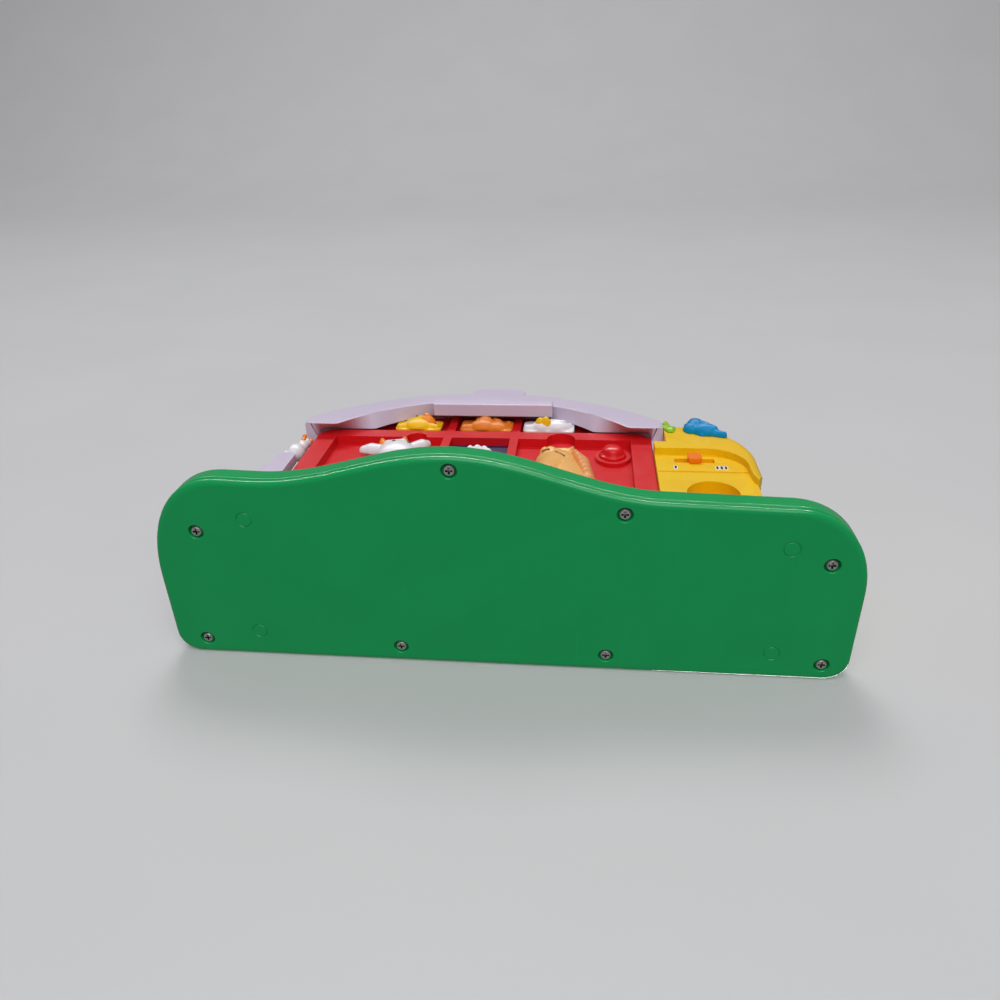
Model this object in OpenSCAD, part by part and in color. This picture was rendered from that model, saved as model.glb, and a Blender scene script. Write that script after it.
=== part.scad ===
// Musical farm carry-along toy: a barn with push-button animals, a silo with a slide switch, a carry handle.
// Millimetres, +Z up, underside of the base at z = 0, front towards -Y, +X to the right seen from the front.

/* [Base] */
// Width of the base along its straight back edge
base_w = 298; // [294:1:316]
// Depth of the base from the back edge to the tip of the front lobe
base_d = 102; // [100:1:110]
// Height of the base
base_h = 13; // [12.5:0.5:16]
// Height of the bottom plate, up to the parting line
plate_h = 5; // [4.6:0.2:5.6]
// Wall thickness of the base
base_wall = 2.4; // [2:0.2:2.8]
// Radius of the back corners
back_corner_r = 10; // [8:1:14]
// Width of the rounded front corners
front_corner_w = 34; // [30:1:38]
// Depth of the rounded front corners
front_corner_d = 50; // [46:1:54]
// How far the front lobe swells out of the straight front edge
lobe_h = 15.5; // [12:0.5:16.5]
// Half width of the front lobe
lobe_half_w = 84; // [76:1:90]
// Place of the lobe's tip across the base
lobe_x = -16; // [-22:1:-8]

/* [Barn] */
// Centre of the barn across the base
barn_x = -20; // [-22:1:-19]
// Width of the barn
barn_w = 180; // [178:1:184]
// Place of the frame's front face, from the middle of the base
frame_front = -8.8; // [-10:0.2:-8]
// Depth of the animal cells behind the frame's front face
cell_depth = 5; // [4.6:0.2:5.4]
// Thickness of the cell floor
floor_t = 2.2; // [2:0.1:2.4]
// Wall thickness of the barn shells
wall_t = 2.5; // [2.2:0.1:2.8]
// Height of the frame over the base
frame_h = 108; // [106:1:109]
// Width of the frame's side borders
border_w = 10.5; // [9.5:0.5:11.5]
// Height of the cross beam over the cells
beam_h = 8.5; // [7.5:0.5:9]
// Height of the sill under the cells
sill_h = 9; // [7:0.5:11]
// Width of the two dividers
divider_w = 4.5; // [4:0.5:5]
// Distance between the two dividers
divider_pitch = 36; // [35:0.5:38]

/* [Roof] */
// Outer radius of the arched roof
roof_r = 142; // [140:1:146]
// Height of the roof's top over the frame
roof_h = 36.5; // [35:0.5:39]
// Thickness of the roof behind its rim
roof_t = 4.2; // [3.8:0.2:4.6]
// Height of the rim's front face
rim_h = 17; // [15:0.5:18]
// How far the rim stands in front of the frame
rim_overhang = 8.2; // [7.6:0.2:9]
// Thickness of the eave blocks at both ends
eave_w = 5.7; // [5:0.1:6]
// Height of the eave blocks
eave_h = 22; // [20:1:24]
// Width of the straight sign bar under the rim
sign_w = 66; // [60:1:70]
// Height of the sign bar's front face
sign_h = 8.2; // [7:0.2:9]
// Height of the sign bar's underside over the frame
sign_z = 8.4; // [7.6:0.2:9.4]
// How far the sign bar stands in front of the rim
sign_proud = 2; // [1:0.5:3]
// Depth of the sign bar
sign_d = 5; // [4.5:0.5:5]

/* [Handle] */
// Width of the carry handle
handle_w = 96; // [92:1:104]
// Depth of the carry handle
handle_d = 14; // [12:0.5:16]
// Place of the handle behind the middle of the base
handle_y = 8.2; // [7:0.2:12]
// Height of the handle's bar over the roof's top
handle_h = 45.5; // [43:0.5:50]
// Thickness of the handle's bar
grip_t = 12; // [10:0.5:13]
// Width of the handle's legs
leg_w = 13; // [12:0.5:15]
// Radius of the handle bar's arch
grip_r = 136; // [120:1:150]
// Width of the raised block in the middle of the bar
block_w = 33; // [28:1:38]
// How far the raised block stands over the bar
block_h = 9; // [7:0.5:10]

/* [Silo] */
// Place of the silo's front face, from the middle of the base
silo_front = -15.3; // [-16.5:0.1:-14.5]
// Place of the silo's back face, from the middle of the base
silo_back = 40; // [38:1:46]
// Centre of the dome, from the barn's right side
dome_off = 12; // [11:0.5:13]
// Radius of the dome
dome_r = 37; // [36:0.5:38]
// Height of the dome's centre over the base
dome_z = 71; // [70:0.5:73]
// Wall thickness of the silo
silo_wall = 2.4; // [2.2:0.1:2.6]
// Width of the silo's raised border
silo_border = 6; // [5:0.5:7]
// Depth of the panel behind the raised border
recess_d = 3.5; // [3:0.1:3.8]
// Height of the recessed panel over the base
recess_h = 77; // [76:0.5:79]
// Half width of the arched doorway
door_half = 11.8; // [10:0.2:12.4]
// Height of the doorway's arch centre over the base
door_z = 36.7; // [34:0.1:38]
// Depth of the doorway behind the panel
door_d = 8; // [6:0.5:10]
// Height of the slide switch over the base
slide_z = 70; // [69:0.5:71]
// Travel of the slide knob to either side
slide_travel = 6; // [5:0.5:6]

/* [Fence] */
// Height of the fence over the base
fence_h = 71; // [66:1:74]
// Width of one picket
picket_w = 9.5; // [8.5:0.5:10]
// Thickness of one picket
picket_t = 5; // [4.5:0.5:5]

/* [Animal buttons] */
// Travel of a pushed button
travel = 2.5; // [2:0.1:2.7]
// Size of a button's square stem
stem_w = 8; // [7:0.2:8.4]
// Diameter of the round button
round_d = 13.4; // [12:0.2:14]

/* [Works] */
// Thickness of the circuit board
board_t = 1.6; // [1.2:0.2:2]
// Distance from the cell floor's back to the circuit board
board_gap = 8.6; // [8.4:0.1:9.2]
// Diameter of the speaker
speaker_d = 50; // [46:1:52]
// Diameter of one AA cell
cell_d = 14.2; // [13.8:0.1:14.4]
// Length of one AA cell
cell_l = 50.5; // [50:0.1:51]

/* [Fasteners and fits] */
// Diameter of the screws' shanks
screw_d = 3; // [2.6:0.1:3.2]
// Diameter of the screws' heads
head_d = 5; // [4.8:0.1:5.4]
// Height of the screws' heads
head_h = 2; // [1.8:0.1:2.2]
// Diameter of the counterbores in the underside
counterbore_d = 6.4; // [6.2:0.1:7]
// Gap between pieces that move against each other
run = 0.3; // [0.25:0.05:0.35]
// Gap between pieces that sit in each other
fit = 0.05; // [0.05:0.05:0.1]

/* [Hidden] */
$fn = 96;
hull_fn = 32;
over = 1;

// Base
half_w = base_w / 2;
back_y = base_d / 2;
front_slope = 0.031;
front_steps = 40;
front_y = -back_y - min([for (x = front_xs(0)) front_wave(x)]);
edge = 1.6;
seam_h = 0.8;
seam_in = 0.6;
top_in = 2.6;
boss_r = 4.6;
screw_r = screw_d / 2;
hole_r = screw_r + 0.15;
pilot_r = screw_r + fit;
head_r = head_d / 2;
counterbore_r = counterbore_d / 2;
base_seat = head_h + 0.4;
back_row_y = back_y - 7.8;
back_row_pitch = 90.7;
base_screw_points = [
    for (i = [-1.5:1:1.5]) [1.5 + i * back_row_pitch, back_row_y],
    [-127.5, -13.8], [133.7, -6.9], [lobe_x - 1, -back_y + 5.9], [52, -27.5]
];
mould_marks = [[-105, -20.5], [117.2, -14.1], [-108.5, 37.6], [116.2, 37.8]];

// Barn
barn_half = barn_w / 2;
barn_right = barn_x + barn_half;
barn_left = barn_x - barn_half;
floor_y = frame_front + cell_depth;
floor_back = floor_y + floor_t;
frame_top = base_h + frame_h;
frame_split = floor_back + 6.6;
frame_corner_r = 8;
cell_z0 = base_h + sill_h;
cell_z1 = frame_top - beam_h;
roof_top = frame_top + roof_h;
roof_cz = roof_top - roof_r;
shell_r = roof_r - roof_t - 0.15;
board_y = floor_back + board_gap;
case_screw_points = [
    for (s = [-1, 1]) for (z = [base_h + 11, frame_top - 9]) [barn_x + s * (barn_half - 8), z]
];
case_boss_r = 3.6;
case_seat_y = frame_split + 8;
board_screw_up = 23;
board_screw_down = 28.5;
board_screw_points = [
    for (s = [-1, 1]) for (z = [base_h + board_screw_up, cell_z1 - board_screw_down]) [barn_x + s * 72, z]
];
mount_boss_r = 4;
mount_boss_h = 10;
barn_mount_points = [for (s = [-1, 1]) for (y = [14, 34]) [barn_x + s * 62, y]];

// Roof and handle
rim_front = frame_front - rim_overhang;
rim_r = roof_r - rim_h;
hood_back = frame_front + 1.3;
eave_in = barn_half + 0.3;
eave_out = eave_in + eave_w;
eave_drop = 23;
eave_z = frame_top - eave_drop;
sign_x = barn_x + 3;
sign_front = rim_front - sign_proud;
sign_z0 = frame_top + sign_z;
grip_top = roof_top + handle_h;
grip_cz = grip_top - grip_r;
handle_screw_off = (handle_w - leg_w) / 2;
handle_seat_z = roof_cz + sqrt(pow(shell_r, 2) - pow(handle_screw_off, 2)) - 9;

// Silo
silo_x0 = barn_right + 0.3;
dome_x = barn_right + dome_off;
silo_x1 = dome_x + dome_r;
dome_cz = base_h + dome_z;
silo_split = 10;
recess_y = silo_front + recess_d;
panel_back = recess_y + silo_wall;
recess_x1 = silo_x1 - silo_border;
recess_z1 = base_h + recess_h;
recess_corner_r = 18;
door_x = dome_x + 12;
door_cz = base_h + door_z;
door_foot = base_h + 9;
slide_x = dome_x + 7;
slide_cz = base_h + slide_z;
slot_h = 4.4;
neck_w = 5.6;
slot_w = neck_w + 2 * slide_travel + 2 * run + 1;
switch_y = panel_back + 2.6;
switch_points = [for (s = [-1, 1]) [slide_x + s * 10, slide_cz + s * 8.5]];
switch_end = switch_y + 5;
lever = 1.1;
lever_end = switch_y + 2.4;
silo_screw_points = [[dome_x, dome_cz + 20], [silo_x1 - 6, base_h + 11], [silo_x0 + 4, base_h + 11]];
silo_boss_r = 3.2;
silo_seat_y = silo_split + 8;
silo_mount_points = [for (y = [18, 31]) [door_x + 1, y]];
body_mount_points = concat(barn_mount_points, silo_mount_points);
bird_peg = [dome_x + 13, dome_cz + 22];
leaf_peg = [dome_x - 2, dome_cz + 27];
bud_r = 2.4;
bud_x = barn_x + eave_out + run + bud_r;
peg_r = 1.8;
peg_l = 4.5;

// Fence: place of each picket's middle, going back along the barn's left side
picket_points = [
    for (i = [0:1:4]) let (turn = max(i - 2, 0))
        [barn_left - 7 - 9.8 * min(i, 2) - 2.4 * turn, frame_front - 0.5 + 7 * i + 2.5 * turn]
];
fence_top = base_h + fence_h;
fence_peg_r = 2;
picket_r = 3;
hen_x = barn_left - 12.4;
hen_y = picket_points[0][1] + 1.5;
hen_peg = picket_points[0] - [2.5, 0];
hen_peg_r = 1.5;

// Animal buttons
relief_gap = travel + 0.7;
relief_y = floor_y - relief_gap;
stem_end = floor_back + 3.6;
barb = 1.2;
barb_end = floor_back + 2;
upper_z = frame_top + 2;
upper_room = 22.5;
upper_drawn_h = 14;
upper_h = roof_h - upper_room;
upper_k = upper_h / upper_drawn_h;
upper_stem_z = upper_z + 5;
plate_t = 1.6;
chick_x = barn_x - 36.4;
chick_w = 27;
cat_x = barn_x + 0.2;
duck_x = barn_x + 36;
cow_x = barn_x - 40;
sheep_x = barn_x;
horse_x = barn_x + 46;
beam_notches = [[horse_x - 3, 7.4], [cow_x + 5, 5.5]];
round_x = barn_right - 20;
round_drop = 13.5;
round_z = cell_z1 - round_drop;
round_r = round_d / 2;
lower_stem_z = base_h + 35;
stem_points = [
    [chick_x, upper_stem_z], [cat_x, upper_stem_z], [duck_x, upper_stem_z],
    [cow_x, lower_stem_z], [sheep_x, lower_stem_z], [horse_x, lower_stem_z]
];
key_points = concat(stem_points, [[round_x, round_z]]);
card_t = 0.4;

// Works
board_half = 77;
board_z0 = base_h + 17;
board_z1 = frame_top - 3;
board_tab_half = 52;
board_tab_z = upper_stem_z + 5.5;
key_h = board_y - stem_end - travel - run;
board_back = board_y + board_t;
back_in = back_y - wall_t;
tray_half = cell_l / 2 + 3.6;
tray_pitch = cell_d + 1.3;
tray_z0 = base_h + 11;
tray_z1 = tray_z0 + 3 * tray_pitch;
tray_y = back_in - cell_d - 1.2;
tray_wall = 2;
door_lap = 2.3;
door_tab_half = 6;
door_tab_h = 8;
door_screw_z = tray_z1 + door_lap + 3.6;
speaker_r = speaker_d / 2;
speaker_gap = 2.2;
speaker_z = tray_z1 + door_lap + door_tab_h + speaker_gap + speaker_r;
speaker_flange = 2;
speaker_screw_points = [
    for (a = [0, 120, 240]) [barn_x, speaker_z] + (speaker_r + 3) * [cos(a), sin(a)]
];
grille_hole_r = 1.5;
grille_pitch = 5;
grille_points = [
    for (row = [0:1:3]) for (i = [0:1:max(0, 6 * row - 1)]) let (a = 60 * i / max(1, row))
        [barn_x, speaker_z] + grille_pitch * row * [cos(a), sin(a)]
];
magnet_r = speaker_r * 0.52;
basket_d = 10.5;
coil_r = 4;
magnet_d = 8;
wire_d = 1.4;
wire_sides = 8;
wire_hole_r = 1.6;
tray_wire = [barn_x + tray_half - 6, tray_z1 - 5];
switch_wire_y = 24;
speaker_wire_y = back_in - basket_d - magnet_d / 2;

// Shapes that repeat

// Extrudes a shape drawn in X and Z from y0 to y1
module along_y(y0, y1) {
    translate([0, y1, 0]) rotate([90, 0, 0]) linear_extrude(y1 - y0) children();
}

module y_rod(p, r, y0, y1) {
    along_y(y0, y1) translate(p) circle(r);
}

module x_rod(p, r, x0, x1) {
    translate([x0, p[0], p[1]]) rotate([0, 90, 0]) cylinder(r = r, h = x1 - x0);
}

module box(lo, hi) {
    translate(lo) cube(hi - lo);
}

// Rectangle with rounded corners, given by two opposite corners
module round_rect(lo, hi, r) {
    translate([lo[0] + r, lo[1]]) square([hi[0] - lo[0] - 2 * r, hi[1] - lo[1]]);
    translate([lo[0], lo[1] + r]) square([hi[0] - lo[0], hi[1] - lo[1] - 2 * r]);
    for (x = [lo[0] + r, hi[0] - r]) for (z = [lo[1] + r, hi[1] - r]) translate([x, z]) circle(r);
}

function arc(cx, cy, rx, ry, a0, a1, steps) = [
    for (i = [0:1:steps]) let (a = a0 + (a1 - a0) * i / steps) [cx + rx * cos(a), cy + ry * sin(a)]
];

// Quarter of a slightly squared oval; the right front corner is the shallower one
fullness = 0.91;
right_share = 0.8;
function full(v) = sign(v) * pow(abs(v), fullness);
function full_arc(cx, cy, rx, ry, a0, a1, steps) = [
    for (i = [0:1:steps])
        let (a = a0 + (a1 - a0) * i / steps) [cx + rx * full(cos(a)), cy + ry * full(sin(a))]
];

// Front edge of the base: a slightly slanting line with one soft lobe
function front_wave(x) =
    let (u = (x - lobe_x) / lobe_half_w)
    front_slope * x - (abs(u) < 1 ? lobe_h * (1 + cos(180 * u)) / 2 : 0);
function front_xs(inset) =
    let (x_end = half_w - inset - front_corner_w)
    [for (i = [0:1:front_steps]) x_end * (2 * i / front_steps - 1)];
function front_edge(x, inset) = front_y + front_wave(x) + inset;

// Plan of the base, drawn in by the inset
function base_plan(inset) =
    let (hx = half_w - inset, by = back_y - inset, r = back_corner_r - inset / 2)
    let (cw = front_corner_w, left_d = front_corner_d - inset, right_d = front_corner_d * right_share - inset)
    let (xl = -hx + cw, xr = hx - cw)
    concat(
        full_arc(xl, front_edge(xl, inset) + left_d, cw, left_d, 180, 270, 10),
        [for (x = front_xs(inset)) if (abs(x) < xr - over) [x, front_edge(x, inset)]],
        full_arc(xr, front_edge(xr, inset) + right_d, cw, right_d, 270, 360, 10),
        arc(hx - r, by - r, r, r, 0, 90, 6),
        arc(-hx + r, by - r, r, r, 90, 180, 6)
    );

module base_layer(z0, z1, inset) {
    translate([0, 0, z0]) linear_extrude(z1 - z0) polygon(base_plan(inset));
}

// Cross cut of a screw's head, open towards -Z
module cross_recess(depth) {
    for (a = [0, 90]) rotate([0, 0, a]) box([-1.5, -0.45, -over], [1.5, 0.45, depth]);
}

// Cross-head screw along +Z, its head's seat at z = 0
module screw(length) {
    difference() {
        union() {
            cylinder(r = screw_r, h = length);
            translate([0, 0, -head_h]) cylinder(r1 = head_r * 0.8, r2 = head_r, h = head_h * 0.5);
            translate([0, 0, -head_h * 0.5]) cylinder(r = head_r, h = head_h * 0.5);
        }
        translate([0, 0, -head_h]) cross_recess(1.1);
    }
}

// Screw along -Y with its head's seat at y
module screw_y(p, y, length) {
    translate([p[0], y, p[1]]) rotate([90, 0, 0]) screw(length);
}

// Boss that takes a screw from the base
module mount_boss(p) {
    translate([p[0], p[1], base_h]) cylinder(r = mount_boss_r, h = mount_boss_h);
}

// Barn section: straight sides under the arch
module barn_section(inset) {
    intersection() {
        translate([barn_x - barn_half + inset, base_h + inset]) square([barn_w - 2 * inset, roof_top]);
        translate([barn_x, roof_cz]) circle(shell_r - inset);
    }
}

module roof_round(r, y0, y1) {
    y_rod([barn_x, roof_cz], r, y0, y1);
}

// Silo section: dome over straight sides, cut clear of the barn and its eave
module silo_section(inset) {
    difference() {
        union() {
            translate([silo_x0, base_h]) square([silo_x1 - inset - silo_x0, dome_z]);
            translate([dome_x, dome_cz]) circle(dome_r - inset);
        }
        translate([silo_x0 - dome_r, 0]) square([dome_r, 3 * dome_cz]);
        translate([silo_x0 - over, eave_z - run]) square([barn_x + eave_out + run - silo_x0 + over, dome_cz]);
    }
}

module silo_cavity() {
    intersection() {
        silo_section(silo_wall);
        translate([silo_x0 + silo_wall, base_h + silo_wall]) square([dome_r * 2, dome_cz * 2]);
        union() {
            translate([0, 0]) square([silo_x1, eave_z - run - silo_wall]);
            translate([barn_x + eave_out + run + silo_wall, 0]) square([dome_r * 2, dome_cz * 2]);
        }
    }
}

module doorway(inset) {
    half = door_half - inset;
    translate([door_x - half, door_foot + inset]) square([2 * half, door_cz - door_foot]);
    translate([door_x, door_cz]) circle(half);
}

module recess_section() {
    translate([silo_x0 - over, base_h - over])
        square([recess_x1 - silo_x0 + over, recess_h - recess_corner_r + over]);
    translate([silo_x0 - over, base_h]) square([recess_x1 - recess_corner_r - silo_x0 + over, recess_h]);
    translate([recess_x1 - recess_corner_r, recess_z1 - recess_corner_r]) circle(recess_corner_r);
}

// Rounded swelling of radius r that stands d in front of the plane y
function dome_points(r, d) = concat([[0, 0]], [for (a = [0:15:90]) [r * cos(a), d * sin(a)]]);

module bump(p, r, d, y = relief_y) {
    translate([p[0], y, p[1]]) rotate([90, 0, 0]) rotate_extrude() polygon(dome_points(r, d));
}

// Swelling drawn out from p to q
module long_bump(p, q, r, s, d, y = relief_y) {
    hull() {
        bump(p, r, d, y, $fn = hull_fn);
        bump(q, s, d, y, $fn = hull_fn);
    }
}

// Square stem of a button with its two snap barbs behind the cell floor
module button_stem(p) {
    half = stem_w / 2;
    translate([p[0], 0, p[1]]) {
        box([-half, relief_y - 0.5, -half], [half, stem_end, half]);
        box([-half, floor_back + run, -half - barb], [half, barb_end, half + barb]);
    }
}

// Square hole in the cell floor for a button's stem
module stem_opening(p) {
    half = stem_w / 2 + run;
    translate([p[0], 0, p[1]]) box([-half, floor_y - over, -half], [half, floor_back + over, half]);
}

// Space under the upper buttons, kept free for the beam
module beam_space() {
    box([barn_left, rim_front - over, base_h], [barn_right, relief_y + over, upper_z]);
}

module upper_plate(x, w) {
    along_y(relief_y - plate_t, relief_y)
        round_rect([x - w / 2, upper_z], [x + w / 2, upper_z + upper_h], 2.5);
}

// Point p turned by an angle about the origin
function turned(p, a) = [p[0] * cos(a) - p[1] * sin(a), p[0] * sin(a) + p[1] * cos(a)];

// Two small eyes' sockets
module eye_pits(p, gap, r, y) {
    for (s = [-1, 1]) y_rod([p[0] + s * gap / 2, p[1]], r, y, y + 0.8);
}

// Tube swept along hand-chosen points
function unit(v) = v / norm(v);
function along(p, i) = unit(p[min(i + 1, len(p) - 1)] - p[max(i - 1, 0)]);
function ring(p, i, r) =
    let (d = along(p, i), u = unit(cross(d, [0.3, 0.2, 0.93])), w = cross(d, u))
    [for (k = [0:1:wire_sides - 1]) let (a = 360 * k / wire_sides) p[i] + r * (cos(a) * u + sin(a) * w)];

module wire(p) {
    n = wire_sides;
    last = (len(p) - 1) * n;
    points = [for (i = [0:1:len(p) - 1]) each ring(p, i, wire_d / 2)];
    sides = [for (i = [0:1:len(p) - 2]) for (k = [0:1:n - 1]) each [
        [i * n + k, i * n + (k + 1) % n, (i + 1) * n + k],
        [i * n + (k + 1) % n, (i + 1) * n + (k + 1) % n, (i + 1) * n + k]
    ]];
    ends = [for (k = [1:1:n - 2]) each [[0, k + 1, k], [last, last + k, last + k + 1]]];
    polyhedron(points, concat(sides, ends));
}

// Base

module base_bottom_plate() {
    color("seagreen") difference() {
        union() {
            base_layer(0, edge, edge);
            base_layer(edge, plate_h, 0);
        }
        difference() {
            base_layer(base_wall, plate_h + over, base_wall);
            for (p = base_screw_points) translate(p) cylinder(r = boss_r, h = plate_h);
        }
        for (p = base_screw_points) translate(p) {
            translate([0, 0, -over]) cylinder(r = counterbore_r, h = base_seat + over);
            cylinder(r = hole_r, h = plate_h + over);
        }
        for (p = mould_marks) translate([p[0], p[1], -over]) difference() {
            cylinder(r = 3.6, h = over + 0.3);
            cylinder(r = 2.9, h = over + 0.3);
        }
    }
}

module base_top_shell() {
    shell_top = base_h - base_wall;
    color("mediumseagreen") difference() {
        union() {
            base_layer(plate_h, plate_h + seam_h, seam_in);
            base_layer(plate_h + seam_h, base_h - 3, 0);
            base_layer(base_h - 3, base_h - 1, 1);
            base_layer(base_h - 1, base_h, top_in);
        }
        difference() {
            base_layer(plate_h - over, shell_top, base_wall + top_in);
            for (p = base_screw_points) translate(p) cylinder(r = boss_r, h = base_h);
        }
        for (p = base_screw_points) translate([p[0], p[1], plate_h - over])
            cylinder(r = pilot_r, h = shell_top - plate_h + over);
        for (p = body_mount_points) translate([p[0], p[1], shell_top - over])
            cylinder(r = hole_r, h = base_h);
        for (p = picket_points) translate([p[0], p[1], shell_top - over])
            cylinder(r = fence_peg_r + fit, h = base_h);
    }
}

module base_screws() {
    color("silver") for (p = base_screw_points) translate([p[0], p[1], base_seat])
        screw(base_h - base_wall - base_seat - 0.3);
}

module body_mount_screws() {
    color("silver") for (p = body_mount_points) translate([p[0], p[1], base_h - base_wall])
        screw(base_wall + mount_boss_h);
}

// Barn

module cell_openings() {
    wall = divider_w / 2;
    mid = divider_pitch / 2;
    for (s = [-1, 1]) {
        x0 = min(s * (mid + wall), s * (barn_half - border_w));
        x1 = max(s * (mid + wall), s * (barn_half - border_w));
        translate([barn_x + x0, cell_z0]) square([x1 - x0, cell_z1 - cell_z0]);
    }
    translate([barn_x - mid + wall, cell_z0]) square([divider_pitch - divider_w, cell_z1 - cell_z0]);
}

module barn_front_frame() {
    color("firebrick") difference() {
        union() {
            along_y(floor_y, floor_back) barn_section(0);
            along_y(frame_front, floor_y) difference() {
                union() {
                    round_rect([barn_left, base_h], [barn_right, frame_top], frame_corner_r);
                    translate([barn_left, base_h]) square([barn_w, frame_h / 2]);
                }
                cell_openings();
            }
            along_y(frame_front + 1, floor_y) intersection() {
                barn_section(1);
                for (s = [-1, 1]) translate([barn_x + s * divider_pitch / 2 - divider_w / 2, cell_z1])
                    square([divider_w, roof_top]);
            }
            along_y(floor_back, frame_split) difference() {
                barn_section(0);
                barn_section(wall_t);
            }
            for (p = board_screw_points) y_rod(p, 3.2, floor_back, board_y);
            for (p = case_screw_points) y_rod(p, case_boss_r, floor_back, frame_split);
            y_rod([round_x, round_z], round_r + 2.4, floor_y - 2.2, floor_y);
        }
        for (p = stem_points) stem_opening(p);
        y_rod([round_x, round_z], round_r + run, floor_y - 3, floor_back + over);
        for (n = beam_notches) y_rod([n[0], cell_z1], n[1], frame_front - over, floor_y);
        for (p = board_screw_points) y_rod(p, pilot_r, floor_back, board_y + over);
        for (p = case_screw_points) y_rod(p, pilot_r, floor_back, frame_split + over);
    }
}

module cell_card() {
    half = divider_pitch / 2 - divider_w / 2 - fit;
    color("midnightblue") difference() {
        box([barn_x - half, floor_y - card_t, cell_z0 + fit], [barn_x + half, floor_y, cell_z1 - fit]);
        stem_opening([sheep_x, lower_stem_z]);
    }
}

module barn_back_shell() {
    color("thistle") difference() {
        union() {
            along_y(frame_split, back_in) difference() {
                barn_section(0);
                barn_section(wall_t);
            }
            along_y(back_in, back_y) barn_section(0);
            for (p = case_screw_points) y_rod(p, case_boss_r, frame_split, back_in);
            for (p = barn_mount_points) mount_boss(p);
            box([barn_x - tray_half - tray_wall, tray_y - tray_wall, tray_z0 - tray_wall],
                [barn_x + tray_half + tray_wall, back_in, tray_z1 + tray_wall]);
            box([barn_x - door_tab_half - 1, tray_y, tray_z1],
                [barn_x + door_tab_half + 1, back_in, tray_z1 + door_lap + door_tab_h + 1]);
            intersection() {
                for (s = [-1, 1]) translate([barn_x + s * handle_screw_off, handle_y, handle_seat_z])
                    cylinder(r = 4.5, h = roof_r);
                roof_round(shell_r, frame_split, back_in);
            }
            for (p = speaker_screw_points) y_rod(p, 2.6, back_in - speaker_flange, back_in);
        }
        box([barn_x - tray_half, tray_y, tray_z0], [barn_x + tray_half, back_y + over, tray_z1]);
        battery_door_hollow();
        y_rod([barn_x, door_screw_z], pilot_r, tray_y + 2, back_y);
        for (p = case_screw_points) {
            y_rod(p, hole_r, frame_split - over, case_seat_y + over);
            y_rod(p, counterbore_r, case_seat_y, back_y + over);
        }
        for (p = barn_mount_points) translate([p[0], p[1], base_h - over])
            cylinder(r = pilot_r, h = mount_boss_h + 2 * over);
        for (s = [-1, 1]) translate([barn_x + s * handle_screw_off, handle_y, handle_seat_z - over])
            cylinder(r = hole_r, h = roof_r);
        for (p = speaker_screw_points) y_rod(p, pilot_r, back_in - speaker_flange - over, back_y - 0.8);
        for (p = grille_points) y_rod(p, grille_hole_r, back_in - over, back_y + over);
        y_rod(tray_wire, wire_hole_r, tray_y - tray_wall - over, tray_y + over);
        x_rod([switch_wire_y, slide_cz], wire_hole_r, barn_right - wall_t - over, barn_right + over);
    }
}

// Opening that the battery door closes, over the tray's rim
module door_outline(gap) {
    round_rect([barn_x - tray_half - door_lap + gap, tray_z0 - door_lap + gap],
        [barn_x + tray_half + door_lap - gap, tray_z1 + door_lap - gap], 2);
    round_rect([barn_x - door_tab_half + gap, tray_z1 - door_lap],
        [barn_x + door_tab_half - gap, tray_z1 + door_lap + door_tab_h - gap], 2);
}

module battery_door_hollow() {
    along_y(back_in, back_y + over) door_outline(0);
}

module case_screws() {
    color("silver") for (p = case_screw_points) screw_y(p, case_seat_y, case_seat_y - floor_back - 0.4);
}

// Roof and handle

module roof_profile() {
    polygon([
        [rim_r, rim_front], [roof_r, rim_front], [roof_r, back_y],
        [roof_r - roof_t, back_y], [roof_r - roof_t, hood_back]
    ]);
}

module roof_shell() {
    color("plum") difference() {
        union() {
            intersection() {
                translate([barn_x, 0, roof_cz]) rotate([-90, 0, 0]) rotate_extrude() roof_profile();
                box([barn_x - eave_out, rim_front, eave_z], [barn_x + eave_out, back_y, roof_top + over]);
            }
            intersection() {
                for (s = [-1, 1]) box([barn_x + min(s * eave_in, s * eave_out), rim_front, eave_z],
                    [barn_x + max(s * eave_in, s * eave_out), back_y, eave_z + eave_h]);
                roof_round(roof_r, rim_front, back_y);
            }
            box([sign_x - sign_w / 2, sign_front, sign_z0],
                [sign_x + sign_w / 2, sign_front + sign_d, sign_z0 + sign_h]);
            box([sign_x - sign_w / 2, rim_front, sign_z0],
                [sign_x + sign_w / 2, sign_front + sign_d, roof_cz + rim_r + 3.1]);
        }
        for (s = [-1, 1]) translate([barn_x + s * handle_screw_off, handle_y, handle_seat_z])
            cylinder(r = hole_r, h = roof_r);
    }
}

// Half of an arched bar's outline: an arch of radius r whose corners are rounded, legs below
module arched_outline(half, r, corner, foot) {
    corner_x = half - corner;
    corner_z = sqrt(pow(r - corner, 2) - pow(corner_x, 2));
    arch_half = corner_x * r / (r - corner);
    translate([barn_x, grip_cz]) {
        intersection() {
            circle(r);
            translate([-arch_half, foot]) square([2 * arch_half, r]);
        }
        for (s = [-1, 1]) translate([s * corner_x, corner_z]) circle(corner);
        translate([-half, foot]) square([2 * half, corner_z - foot]);
    }
}

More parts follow.
